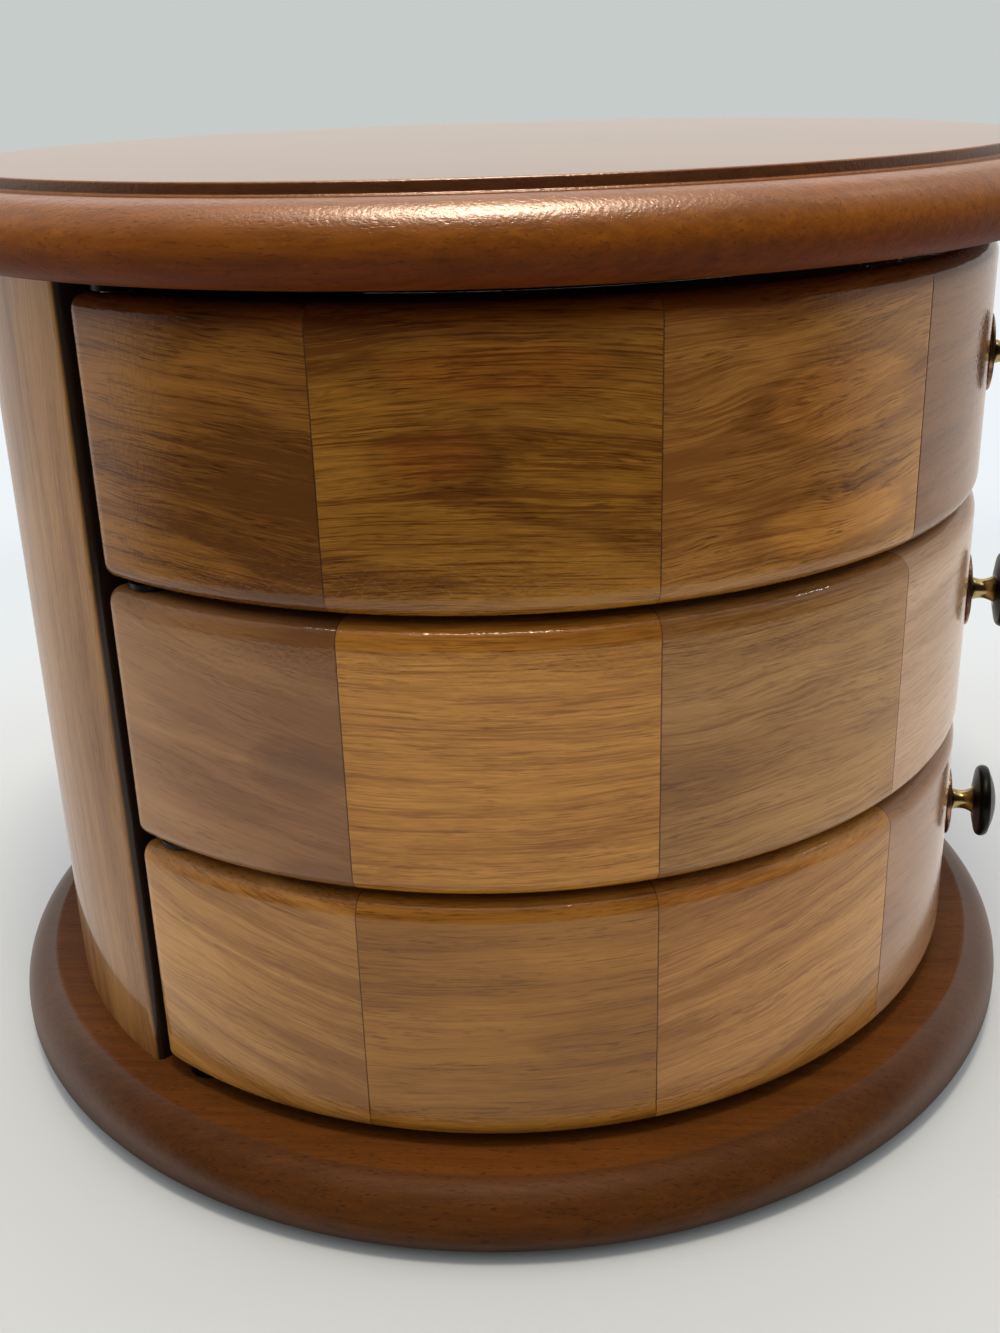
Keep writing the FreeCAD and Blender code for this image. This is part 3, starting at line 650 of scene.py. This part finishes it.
topPath = filletPath([
    (0, case["topLow"], 0), (case["lipRise"][0], case["topLow"], 0.5),
    (lipRadius, case["topLow"] + case["lipRise"][1], case["topLowerRound"]),
    (lipRadius, case["topShoulder"], case["topRound"]), (case["stepRadius"], case["topShoulder"], 0.25),
    (case["stepRadius"], case["topHigh"], case["stepRound"]), (0, case["topHigh"], 0),
], steps=14, support=0.04)
topMaterial = stainedMaterial("stainedTop", stainedLook["top"])
makePiece("topPanel", "case", turnedSurface(topPath, 300), topMaterial, "stained_mahogany", ["top_panel"])
print("base and top ready")

staves = {
    "dark": (0.17, 0.066, 0.015), "light": (0.41, 0.2, 0.06), "coat": 0.6, "postRound": 1.5, "level": 80.0,
    "lineTone": (0.03, 0.015, 0.008), "gapShadeTone": (0.008, 0.005, 0.004),
    "looks": [
        {"seed": 3.1, "band": 7.0, "wave": 2.0, "bend": 0.3}, {"seed": 5.7, "band": 9.0, "wave": 3.0, "bend": 0.0},
        {"seed": 8.4, "band": 6.5, "wave": 1.6, "bend": -0.2},
    ],
}

# The two kinds of end that a sector can have, from the inside outward: the distance of each section from the end,
# the share of the end rounding there, what it leaves of the other roundings, and the depth of the seam's groove.
quarterTurn = np.linspace(0, pi / 2, 10)
cornerPower = 3.0
roundedShare = np.sin(quarterTurn) ** (2 / cornerPower)
roundedKeep = np.cos(quarterTurn) ** (2 / cornerPower)
seamEnd = np.array([(0.3, 0.12, 0.05, 0.0), (0, 0, 0, 0), (1, 1, 1, 1), (0.0, 0.01, 0.05, 0.11)])


def sectorAngles(start, end, rounding, roundStart, roundEnd, steps):
    # The angle of each section from start to end, with its rounding share, what that leaves, and its seam depth.
    radius = bodyRadius
    roundEndRows = np.array([rounding * (1 - roundedShare), roundedShare, roundedKeep, 0 * roundedShare])
    first = (roundEndRows if roundStart else seamEnd)[:, ::-1]
    last = roundEndRows if roundEnd else seamEnd
    near = first[0] / radius
    far = radians(end - start) - last[0] / radius
    inner = np.linspace(near[-1] + 0.3 / radius, far[0] - 0.3 / radius, steps)
    rest = (np.concatenate([first[n], np.full(steps, float(n == 2)), last[n]]) for n in (1, 2, 3))
    return start + np.degrees(np.concatenate([near, inner, far])), *rest


def makeStave(number):
    # One stave: a four-sided section; a free upright edge falls back as 1 - sqrt(1 - a^2) over its rounding.
    width = 2 * case["rearHalf"] / 3
    start = rearMiddle - case["rearHalf"] + number * width
    rounding = staves["postRound"]
    angles, share, _, seam = sectorAngles(start, start + width, rounding, number == 0, number == 2, 26)
    low, high, wall = case["baseTop"], case["topLow"], case["wall"]
    heights = np.linspace(low, high, 5)
    deep = np.linspace(0, wall, 4)[1:-1]
    loop = np.array([(0, z) for z in heights] + [(d, high) for d in deep]
                    + [(wall, z) for z in heights[::-1]] + [(d, low) for d in deep[::-1]])

    def shapeSection(k):
        outward = rounding * (1 - sqrt(max(0.0, 1 - share[k] ** 2))) + seam[k]
        return np.column_stack([np.maximum(loop[:, 0], outward), loop[:, 1]])

    name = "rearStave%d" % (number + 1)
    half = radians(width) * bodyRadius / 2
    material = staveMaterial(name, staves["looks"][number], start + width / 2, half, number - 1)
    makePiece(name, "case", sectorSurface(loop, angles, shapeSection), material, "rear_stave_wood",
              ["rear_stave_%d" % (number + 1)])


for number in range(3):
    makeStave(number)

inner = {
    "board": {"turn": (0, 0, 0), "seed": 2.2, "dark": (0.3, 0.17, 0.08), "light": (0.55, 0.37, 0.2), "band": 7.0},
    "panel": {"turn": (0, 0, 90), "seed": 4.6, "dark": (0.36, 0.23, 0.12), "light": (0.6, 0.43, 0.25), "band": 12.0},
}
innerBoard = bareWood("innerBoard", inner["board"])
floorPly = bareWood("floorPly", inner["panel"])

partition = chordBoard(innerRadius, *case["partition"], case["baseTop"], case["topLow"])
makePiece("rearPartition", "case", partition, innerBoard, "inner_wood", ["rear_partition"])
print("rear wall ready")


# The drawers

drawer = {
    "height": 43.6, "edgeRound": 3.2, "innerRound": 0.8, "grooveDepth": 1.6, "grooveLow": 2.5, "grooveHigh": 5.5,
    "liningRadius": 77.6, "liningBack": nodeBox("top_felt_lining")[1][1], "liningLow": 5.5, "liningThick": 1.0,
    "hinge": sum(nodeBox("pivot_washers"))[:2] / 2, "boreRadius": 3.2,
}

# How far the first seams of each front stand from their even places, in degrees.
seamShifts = {"top": (-3.1, -3.2, -2.3), "middle": (-2.4, -3.0, -2.7), "bottom": (-2.4, -3.0, -2.4)}

# One row for each block, from the hinge round to the free end.
boardFields = (
    "wood", "colour", "seed", "tilt", "band", "wave", "bend", "streak", "cloud", "strength", "lean",
)
boardRows = {
    "top": (
        ("olive_walnut", (0.21, 0.079, 0.009), 1.3, 4, 8, 1.8, 0, 0.75, 0.9, 0.3, -0.25),
        ("olive_oak", (0.235, 0.089, 0.008), 7.9, 0, 5.5, 1.0, 1.3, 0.95, 0.8, 0.25, 0),
        ("figured_teak", (0.335, 0.138, 0.022), 4.4, -5, 12, 2.6, 0, 0.65, 0.7, 0.35, 0.35),
        ("red_walnut", (0.24, 0.105, 0.035), 9.1, -2, 9, 1.5, 0, 0.4, 0.4, 0.2, 0),
        ("light_tan", (0.38, 0.2, 0.07), 12.6, 0, 7, 1.4, 0, 0.5, 0.5, 0.2, 0),
        ("olive_walnut", (0.155, 0.075, 0.02), 15.2, 3, 8, 2.2, 0, 0.7, 0.7, 0.3, 0),
        ("golden_oak", (0.3, 0.16, 0.05), 17.8, 0, 9, 3.0, 0, 0.5, 0.5, 0.3, 0),
        ("mid_brown", (0.22, 0.105, 0.035), 20.3, -3, 6, 1.6, 0, 0.6, 0.5, 0.2, 0),
    ),
    "middle": (
        ("red_walnut", (0.28, 0.13, 0.045), 2.7, 9, 13, 2.4, 0, 0.35, 0.7, 0.3, -0.45),
        ("light_tan", (0.415, 0.17, 0.022), 6.2, 0, 4.5, 0.8, 0, 0.75, 0.3, 0.2, 0),
        ("mid_brown", (0.345, 0.162, 0.04), 11.5, -2, 8, 2.0, 0, 0.6, 0.5, 0.2, 0.3),
        ("golden_oak", (0.53, 0.31, 0.15), 13.9, 0, 9, 1.5, 0, 0.4, 0.5, 0.15, 0),
        ("olive_walnut", (0.16, 0.08, 0.024), 18.4, 0, 7, 2.5, 0, 0.6, 0.5, 0.25, 0),
        ("light_tan", (0.4, 0.2, 0.07), 22.1, 3, 6, 1.5, 0, 0.5, 0.5, 0.2, 0),
        ("mid_brown", (0.25, 0.125, 0.045), 24.8, 0, 8, 2.0, 0, 0.5, 0.5, 0.2, 0),
        ("olive_oak", (0.2, 0.1, 0.025), 27.3, -3, 6, 1.2, 0, 0.7, 0.5, 0.25, 0),
    ),
    "bottom": (
        ("golden_oak", (0.395, 0.18, 0.038), 3.8, 13, 7, 1.8, 0, 0.55, 0.5, 0.4, -0.3),
        ("mid_brown", (0.305, 0.122, 0.015), 8.6, -1, 6, 1.0, 0, 0.5, 0.5, 0.2, 0),
        ("light_tan", (0.425, 0.188, 0.038), 14.7, -9, 8, 2.0, 0, 0.6, 0.6, 0.3, 0.22),
        ("red_walnut", (0.365, 0.19, 0.09), 16.5, 0, 10, 1.5, 0, 0.3, 0.5, 0.15, 0),
        ("figured_teak", (0.25, 0.12, 0.035), 21.2, 4, 10, 3.6, 0, 0.6, 0.5, 0.45, 0),
        ("golden_oak", (0.36, 0.18, 0.06), 23.7, 0, 7, 2.0, 0, 0.5, 0.5, 0.25, 0),
        ("olive_walnut", (0.16, 0.08, 0.024), 26.4, -4, 8, 1.8, 0, 0.6, 0.5, 0.3, 0),
        ("light_tan", (0.4, 0.21, 0.075), 29.9, 0, 6, 1.4, 0, 0.5, 0.5, 0.2, 0),
    ),
}
boards = {label: [dict(zip(boardFields, row)) for row in rows] for label, rows in boardRows.items()}

# Oval patches of figure: (arc, height) of the centre from the block's middle, half sizes, tone.
figures = {
    ("top", 1): [
        ((1.4, 13.2), (15.8, 4.3), (0.98, 0.82, 0.7)), ((-7.3, 1.6), (7.7, 4.2), (0.96, 0.8, 0.7)),
        ((13.2, -1.5), (12.2, 5.9), (1.12, 1.16, 1.05)),
    ],
    ("top", 2): [((6.5, 5.2), (16.5, 6.6), (1.2, 1.17, 1.08)), ((5.5, -13.0), (15.5, 4.8), (1.2, 1.14, 1.02))],
    ("middle", 0): [((15.0, -1.6), (7.5, 4.2), (0.73, 0.73, 0.79))],
}


def blockSpan(label, number):
    # The angles at which a block starts and ends.
    count = len(boards[label])
    shifts = (0, *seamShifts[label], 0, 0, 0, 0, 0)
    width = 2 * case["frontHalf"] / count
    start = frontMiddle - case["frontHalf"]
    return [start + n * width + shifts[n] for n in (number, number + 1)]


def blockLoop(level):
    # The section of a block as (depth, height): outer face, rounded top, inner face with the floor's groove, foot.
    height, rounding, wall, small = drawer["height"], drawer["edgeRound"], case["wall"], drawer["innerRound"]
    support, flatMiddle, faceMargin, innerHeights = 0.3, 7.5, 8, (30, 15)
    groove = wall - drawer["grooveDepth"]
    face = [(0, rounding), (0, rounding + support)]
    face += [(0, z) for z in np.linspace(faceMargin, height - faceMargin, 4)]
    face += [(0, height - rounding - support), (0, height - rounding)]
    crown = [(rounding * (1 - cos(q)), height - rounding + rounding * sin(q)) for q in quarterTurn[1:]]
    flat = [(rounding + support, height), (flatMiddle, height), (wall - small - 0.2, height)]
    turn = np.linspace(0, pi / 2, 5)
    eased = [(wall - small + small * sin(q), height - small + small * cos(q)) for q in turn]
    inside = [(wall, z) for z in innerHeights] + [(wall, drawer["grooveHigh"]), (groove, drawer["grooveHigh"])]
    inside += [(groove, drawer["grooveLow"]), (wall, drawer["grooveLow"]), (wall, 0)]
    foot = [(flatMiddle, 0), (rounding + support, 0)]
    heel = [(rounding * (1 - sin(q)), rounding * (1 - cos(q))) for q in quarterTurn[:-1]]
    return np.array(face + crown + flat + eased + inside + foot + heel) + [0, level]


def makeBlock(label, number):
    # One block. At a rounded end the outer face falls back as 1 - sqrt(1 - (a^p + b^p)^(2/p)), where a is the share
    # of the way over the end rounding and b over the upper or lower one, so that the face's corner is softly rounded.
    start, end = blockSpan(label, number)
    rounding, power, middle = drawer["edgeRound"], cornerPower, levels[label] + drawer["height"] / 2
    isLast = number == len(boards[label]) - 1
    angles, share, keep, seam = sectorAngles(start, end, rounding, number == 0, isLast, 22)
    straight = drawer["height"] / 2 - rounding
    loop = blockLoop(levels[label])

    def shapeSection(k):
        up = loop[:, 1] - middle
        over = np.clip(np.abs(up) - straight, 0, rounding) / rounding * keep[k]
        height = middle + np.sign(up) * (np.minimum(np.abs(up), straight) + rounding * over)
        fall = rounding * (1 - np.sqrt(np.clip(1 - (share[k] ** power + over ** power) ** (2 / power), 0, 1)))
        fall = fall if share[k] > 0 else np.minimum(loop[:, 0], rounding)
        depth = np.where(loop[:, 0] <= rounding + 1e-6, np.maximum(fall, seam[k]), loop[:, 0])
        return np.column_stack([depth, height])

    return drawerPiece(
        label, "Block%d" % (number + 1), sectorSurface(loop, angles, shapeSection), blockMaterial(label, number),
        boards[label][number]["wood"], "_front_block_%d" % (number + 1),
    )


def boreHole(piece, x, y, radius, low, high):
    # Cuts a round upright hole through a finished piece and keeps the result as its mesh.
    points, faces = turnedSurface(np.array([(0, low), (radius, low), (radius, high), (0, high)], float), 64)
    tool = addObject("hole", addMesh("hole", points + [x, y, 0], faces))
    cut = piece.modifiers.new("bore", "BOOLEAN")
    cut.operation = "DIFFERENCE"
    cut.solver = "EXACT"
    cut.object = tool
    bpy.context.view_layer.update()
    made = bpy.data.meshes.new_from_object(piece.evaluated_get(bpy.context.evaluated_depsgraph_get()))
    piece.modifiers.clear()
    piece.data = made
    made.name = piece.name
    shadeMesh(made)
    bpy.data.objects.remove(tool)


knob = {
    "plateRadius": 7.0, "plateThick": 0.9, "plateDish": (5.4, 5.1, 0.18), "stem": 2.6, "waist": 1.83,
    "stemLength": 4.6, "collar": (4.2, 0.22), "head": 6.3, "rim": 7.09, "slope": 0.7, "rimHeight": 2.2, "dome": 1.5,
    "look": {
        "bright": (0.42, 0.33, 0.14), "dark": (0.013, 0.016, 0.013), "tarnish": 0.3, "headTarnish": 0.95,
        "brightTo": -95.6, "bump": 0.15,
    },
    "plateLook": {"bright": (0.34, 0.2, 0.13), "dark": (0.12, 0.06, 0.045), "tarnish": 0.5, "bump": 0.1},
}
knobMaterial = metalMaterial("knobMetal", knob["look"])
plateMaterial = metalMaterial("plateMetal", knob["plateLook"])


def knobProfile():
    # Stem: r = end radius less a smooth dip; head: sloping underside, bulged rim and a shallow dome r^2 / (2 R).
    rise = np.linspace(0, 1, 17)
    stem = knob["stem"] - (knob["stem"] - knob["waist"]) * np.sin(pi * rise) ** 0.8
    stem[[0, 1, -1]] = knob["stem"]
    under = knob["stemLength"] + knob["slope"]
    turn = np.linspace(-pi / 2, pi / 2, 15)
    bulge = knob["head"] + (knob["rim"] - knob["head"]) * np.cos(turn)
    out = np.linspace(knob["head"], 0, 14)[1:]
    dome = under + knob["rimHeight"] + knob["dome"] * (1 - (out / knob["head"]) ** 2)
    return np.vstack([
        [(0, 0)], np.column_stack([stem, rise * knob["stemLength"]]),
        [(knob["collar"][0], knob["stemLength"] + knob["collar"][1])],
        np.column_stack([bulge, under + knob["rimHeight"] / 2 * (1 + np.sin(turn))]), np.column_stack([out, dome]),
    ])


def plateProfile():
    # A thin disc with an eased rim and a shallow dished middle.
    thick = knob["plateThick"]
    outer, dished, depth = knob["plateDish"]
    return filletPath([
        (0, 0, 0), (knob["plateRadius"], 0, 0.1), (knob["plateRadius"], thick, 0.5), (outer, thick, 0.1),
        (dished, thick - depth, 0.1), (0, thick - depth, 0),
    ], steps=6, support=0.04)


def makeKnob(label):
    seat = -bodyRadius
    plate = frontward(turnedSurface(plateProfile(), 96), label, seat)
    drawerPiece(label, "KnobPlate", plate, plateMaterial, "dark_bronze", "_knob_plate")
    handle = frontward(turnedSurface(knobProfile(), 96), label, seat - knob["plateThick"])
    drawerPiece(label, "Knob", handle, knobMaterial, "antique_brass", "_knob")


def makeBoard(label, name, node, gap, eased):
    # An upright board across the drawer, between the CAD's own faces.
    low, high = nodeBox(label + node)
    shape = chordBoard(innerRadius - gap, low[1], high[1], low[2], high[2])
    softenEdges(drawerPiece(label, name, shape, innerBoard, "inner_wood", node), eased)


# Felt

felt = {
    "lining": {"dark": (0.07, 0.006, 0.011), "light": (0.2, 0.025, 0.035), "sheen": 0.5},
    "base": {"dark": (0.02, 0.045, 0.022), "light": (0.07, 0.125, 0.07), "sheen": 0.4},
    "baseRadius": 95.8, "baseThick": 1.0, "unevenness": 0.06,
}
liningMaterial = feltMaterial("liningFelt", felt["lining"])
baseFeltMaterial = feltMaterial("baseFelt", felt["base"])

feltPath = discPath(felt["baseRadius"], 0, felt["baseThick"], 0.3, 0.35, 3, 0.1)
underFelt = makePiece("baseFelt", "case", turnedSurface(feltPath, 200), baseFeltMaterial, "base_felt", ["base_felt"])

bumper = {"radius": 4.0, "thick": 2.4, "offset": 50.0}
bumperPath = discPath(bumper["radius"], 0, bumper["thick"], 0.25, 0.7, 5, 0.05)
for label in drawerNames:
    shape = frontward(turnedSurface(bumperPath, 48), label, case["partition"][0], bumper["offset"])
    makePiece("bumper_" + label, "case", shape, baseFeltMaterial, "base_felt", ["drawer_bumpers"])


def liningOutline(angle):
    # How far the lining reaches in each direction, as a share of its radius: cut straight at the back.
    reach = drawer["liningBack"] / drawer["liningRadius"]
    rise = np.sin(angle)
    return np.where(rise > 0, np.minimum(1.0, reach / np.maximum(rise, 1e-6)), 1.0)


def makeLining(label):
    # Felt with a soft rim, and a faint unevenness from two crossed sine waves.
    radius, low = drawer["liningRadius"], levels[label] + drawer["liningLow"]
    high = low + drawer["liningThick"]
    path = discPath(radius, low, high, 0.25, 0.4, 4, 0.1)
    rings = np.column_stack([np.linspace(radius - 1, 0, 14)[1:-1], np.full(12, high)])
    points, faces = turnedSurface(np.vstack([path[:-1], rings, path[-1:]]), 220, liningOutline)
    raised = points[:, 2] > high - 0.1
    waves = np.sin(points[:, 0] * 0.11 + levels[label]) * np.sin(points[:, 1] * 0.09)
    points[:, 2] -= raised * felt["unevenness"] * (1 + waves)
    piece = drawerPiece(label, "Lining", (points, faces), liningMaterial, "lining_felt", "_felt_lining")
    return piece


for label, level in levels.items():
    blocks = [makeBlock(label, number) for number in range(len(boards[label]))]
    boreHole(blocks[0], *drawer["hinge"], drawer["boreRadius"], level - 5, level + drawer["height"] + 5)
    makeKnob(label)
    makeBoard(label, "BackWall", "_back_wall", 0.0, 0.6)
    makeLining(label)
    print(label, "drawer ready")

for label in ("top", "middle"):
    makeBoard(label, "Divider", "_divider", 0.2, 0.7)


# Fittings that keep their own shape

metals = {
    "steel": {"bright": (0.56, 0.56, 0.57), "dark": (0.3, 0.29, 0.28), "tarnish": 0.35, "bump": 0.05},
    "darkSteel": {"bright": (0.03, 0.028, 0.026), "dark": (0.012, 0.011, 0.01), "tarnish": 0.6, "bump": 0.05},
    "brass": {"bright": (0.72, 0.52, 0.22), "dark": (0.34, 0.22, 0.08), "tarnish": 0.35, "bump": 0.05},
}
steel, darkSteel, brass = (metalMaterial(name, look) for name, look in metals.items())
kept = {"pivot_rod": steel, "base_screws": steel, "pivot_washers": darkSteel, "top_dowels": innerBoard}
for label in drawerNames:
    kept.update({label + "_hinge_bushes": brass, label + "_knob_screw": steel, label + "_floor_panel": floorPly})
for node, material in kept.items():
    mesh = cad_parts[node].data
    mesh.materials.clear()
    mesh.materials.append(material)
print("fittings ready")


# Studio

# The mirrored colours and the ceiling are seen only in reflections, and the sizes here are in metres. Each pair
# named From or To is where a change sets in and is complete: a distance from the object or a share of a direction.
studio = {
    "near": (0.62, 0.65, 0.645), "mid": (0.86, 0.91, 0.94), "far": (0.57, 0.605, 0.59), "floorSize": 12.0,
    "midFrom": (0.13, 0.42), "farFrom": (0.7, 2.6), "glowFrom": (0.16, 0.36), "mirroredShadowFrom": (0.098, 0.12),
    "mirroredTo": (0.3, 0.42), "paleSideFrom": (-0.45, 0.0), "ambientFrom": (-0.95, -0.2),
    "ceilingFrom": (0.84, 0.985), "ceiling": (2.0, 1.7, 1.45), "upLift": (-0.1, 0.9, 0.7, 1.35),
    "ambient": (0.86, 0.87, 0.9), "ambientDark": (0.22, 0.22, 0.225), "roomDark": (0.03, 0.027, 0.025),
    "mirrored": (0.68, 0.652, 0.605), "mirroredFloor": (0.85, 0.79, 0.74), "mirroredNear": (0.95, 0.88, 0.82),
    "farDirection": 11.1,
}


def towardFar(vector):
    # How much of the vector points to the pale side of the room, away from the camera.
    away = radians(studio["farDirection"])
    return vectorMath("DOT_PRODUCT", vector, (cos(away), sin(away), 0), output="Value")


def makeFloor():
    # A large disc: plain and lit near the object, and as pale as the backdrop further out.
    steps = 96
    angle = np.arange(steps) * 2 * pi / steps
    ring = np.stack([np.cos(angle), np.sin(angle), 0 * angle], -1) * studio["floorSize"] * perMetre
    mesh = addMesh("studioFloor", ring, [list(range(steps))])
    floor = addObject("studioFloor", mesh)
    material, tree, place = newMaterial("studioFloor")
    reach = vectorMath("LENGTH", place, output="Value")
    colour = blend(remap(reach, *studio["midFrom"]), studio["near"], studio["mid"])
    colour = blend(remap(reach, *studio["farFrom"]), colour, studio["far"])
    setShader(material, {"Base Color": colour, "Roughness": 0.9, "Specular IOR Level": 0.1})
    # In reflections the floor is painted dark right next to the object, a painted contact shadow, and dark again
    # further out, where the reflected room is dark.
    soft = blend(remap(reach, *studio["mirroredShadowFrom"]), studio["roomDark"], studio["mirroredNear"])
    soft = blend(remap(reach, *studio["mirroredTo"]), soft, studio["roomDark"])
    side = towardFar(place) / combine("MAXIMUM", reach, 0.05)
    reflected = blend(remap(side, *studio["paleSideFrom"]), soft, studio["mirroredFloor"])
    light = put(tree, "LightPath")
    glow = put(tree, "Emission", {"Color": blend(light["Is Glossy Ray"], colour, reflected)})[0]
    seen = light["Is Camera Ray"] * remap(reach, *studio["glowFrom"])
    share = combine("MAXIMUM", seen, light["Is Glossy Ray"])
    lit = Wire(tree.nodes["Principled BSDF"].outputs[0])
    joined = put(tree, "MixShader", {0: share, 1: lit, 2: glow})[0]
    fill(tree.nodes["Material Output"].inputs, {"Surface": joined})
    mesh.materials.append(material)


def makeWorld():
    # Even light for matt surfaces; lacquer and metal also see a dark room on one side and a pale wall on the other.
    world = bpy.data.worlds.new("studioWorld")
    bpy.context.scene.world = world
    world.use_nodes = True
    tree = world.node_tree
    tree.nodes.clear()
    direction = put(tree, "TexCoord")["Generated"]
    side = towardFar(direction)
    up = axes(direction)[2]
    room = blend(remap(side, *studio["paleSideFrom"]), studio["roomDark"], studio["mirrored"])
    room = blend(remap(up, *studio["ceilingFrom"]), room, studio["ceiling"])
    even = blend(remap(side, *studio["ambientFrom"]), studio["ambientDark"], studio["ambient"])
    lift = remap(up, *studio["upLift"])
    even = put(tree, "VectorMath", {0: even, 3: lift}, operation="SCALE")[0]
    light = put(tree, "LightPath")
    colour = blend(light["Is Glossy Ray"], even, room)
    colour = blend(light["Is Camera Ray"], colour, studio["far"])
    background = put(tree, "Background", {"Color": colour})[0]
    put(tree, "OutputWorld", {0: background})


# Direction and elevation from the object are in degrees, distance and size in metres. The last two say whether
# matt surfaces and glossy ones are lit.
lampFields = ("direction", "elevation", "distance", "size", "radiance", "colour", "matt", "gloss")
lamps = {
    "overhead": (191.0, 71, 0.9, (0.15, 0.12), 60.0, (1.0, 0.86, 0.72), True, False),
    "glint": (187.0, 80, 0.9, (0.33, 0.32), 56.0, (1.0, 0.76, 0.57), False, True),
    "spark": (191.0, 71, 0.9, (0.05, 0.02), 420.0, (1.0, 0.92, 0.84), False, True),
    "farWindow": (11.1, 42, 1.1, (1.4, 0.5), 0.9, (1.0, 0.94, 0.93), True, True),
    "leftLamp": (122.0, 63, 1.4, (0.06, 0.06), 30.0, (1.0, 0.96, 0.9), True, True),
    "rightLamp": (292.0, 45, 1.4, (0.12, 0.05), 25.0, (1.0, 0.96, 0.9), True, True),
}


def makeLamps():
    target = np.array((0, 0, 0.12))
    for name, row in lamps.items():
        look = dict(zip(lampFields, row))
        turn, rise = radians(look["direction"]), radians(look["elevation"])
        toward = np.array((cos(turn) * cos(rise), sin(turn) * cos(rise), sin(rise)))
        data = bpy.data.lights.new(name, "AREA")
        data.shape = "RECTANGLE"
        data.size, data.size_y = look["size"]
        data.energy = look["radiance"] * pi * data.size * data.size_y
        data.color = look["colour"]
        lamp = addObject(name, data)
        lamp.location = target + toward * look["distance"]
        lamp.rotation_euler = (pi / 2 - rise, 0, turn + pi / 2)
        lamp.visible_diffuse = look["matt"]
        lamp.visible_glossy = look["gloss"]


photoView = {
    "place": (-0.277683, -0.053956, 0.176888), "heading": 11.102, "down": 21.837, "roll": -1.7945, "lens": 39.917,
    "shift": (0.00067, -0.00639),
}


def makeCamera():
    data = bpy.data.cameras.new("photoCamera")
    data.lens = photoView["lens"]
    data.shift_x, data.shift_y = photoView["shift"]
    data.clip_start = 0.01
    camera = addObject("photoCamera", data)
    turn = Matrix.Rotation(radians(photoView["heading"] - 90), 4, "Z")
    tilt = Matrix.Rotation(radians(90 - photoView["down"]), 4, "X")
    roll = Matrix.Rotation(radians(photoView["roll"]), 4, "Z")
    camera.matrix_world = Matrix.Translation(photoView["place"]) @ turn @ tilt @ roll
    bpy.context.scene.camera = camera


makeFloor()
makeWorld()
makeLamps()
makeCamera()
bpy.context.scene.view_settings.view_transform = "Standard"
print("studio ready")
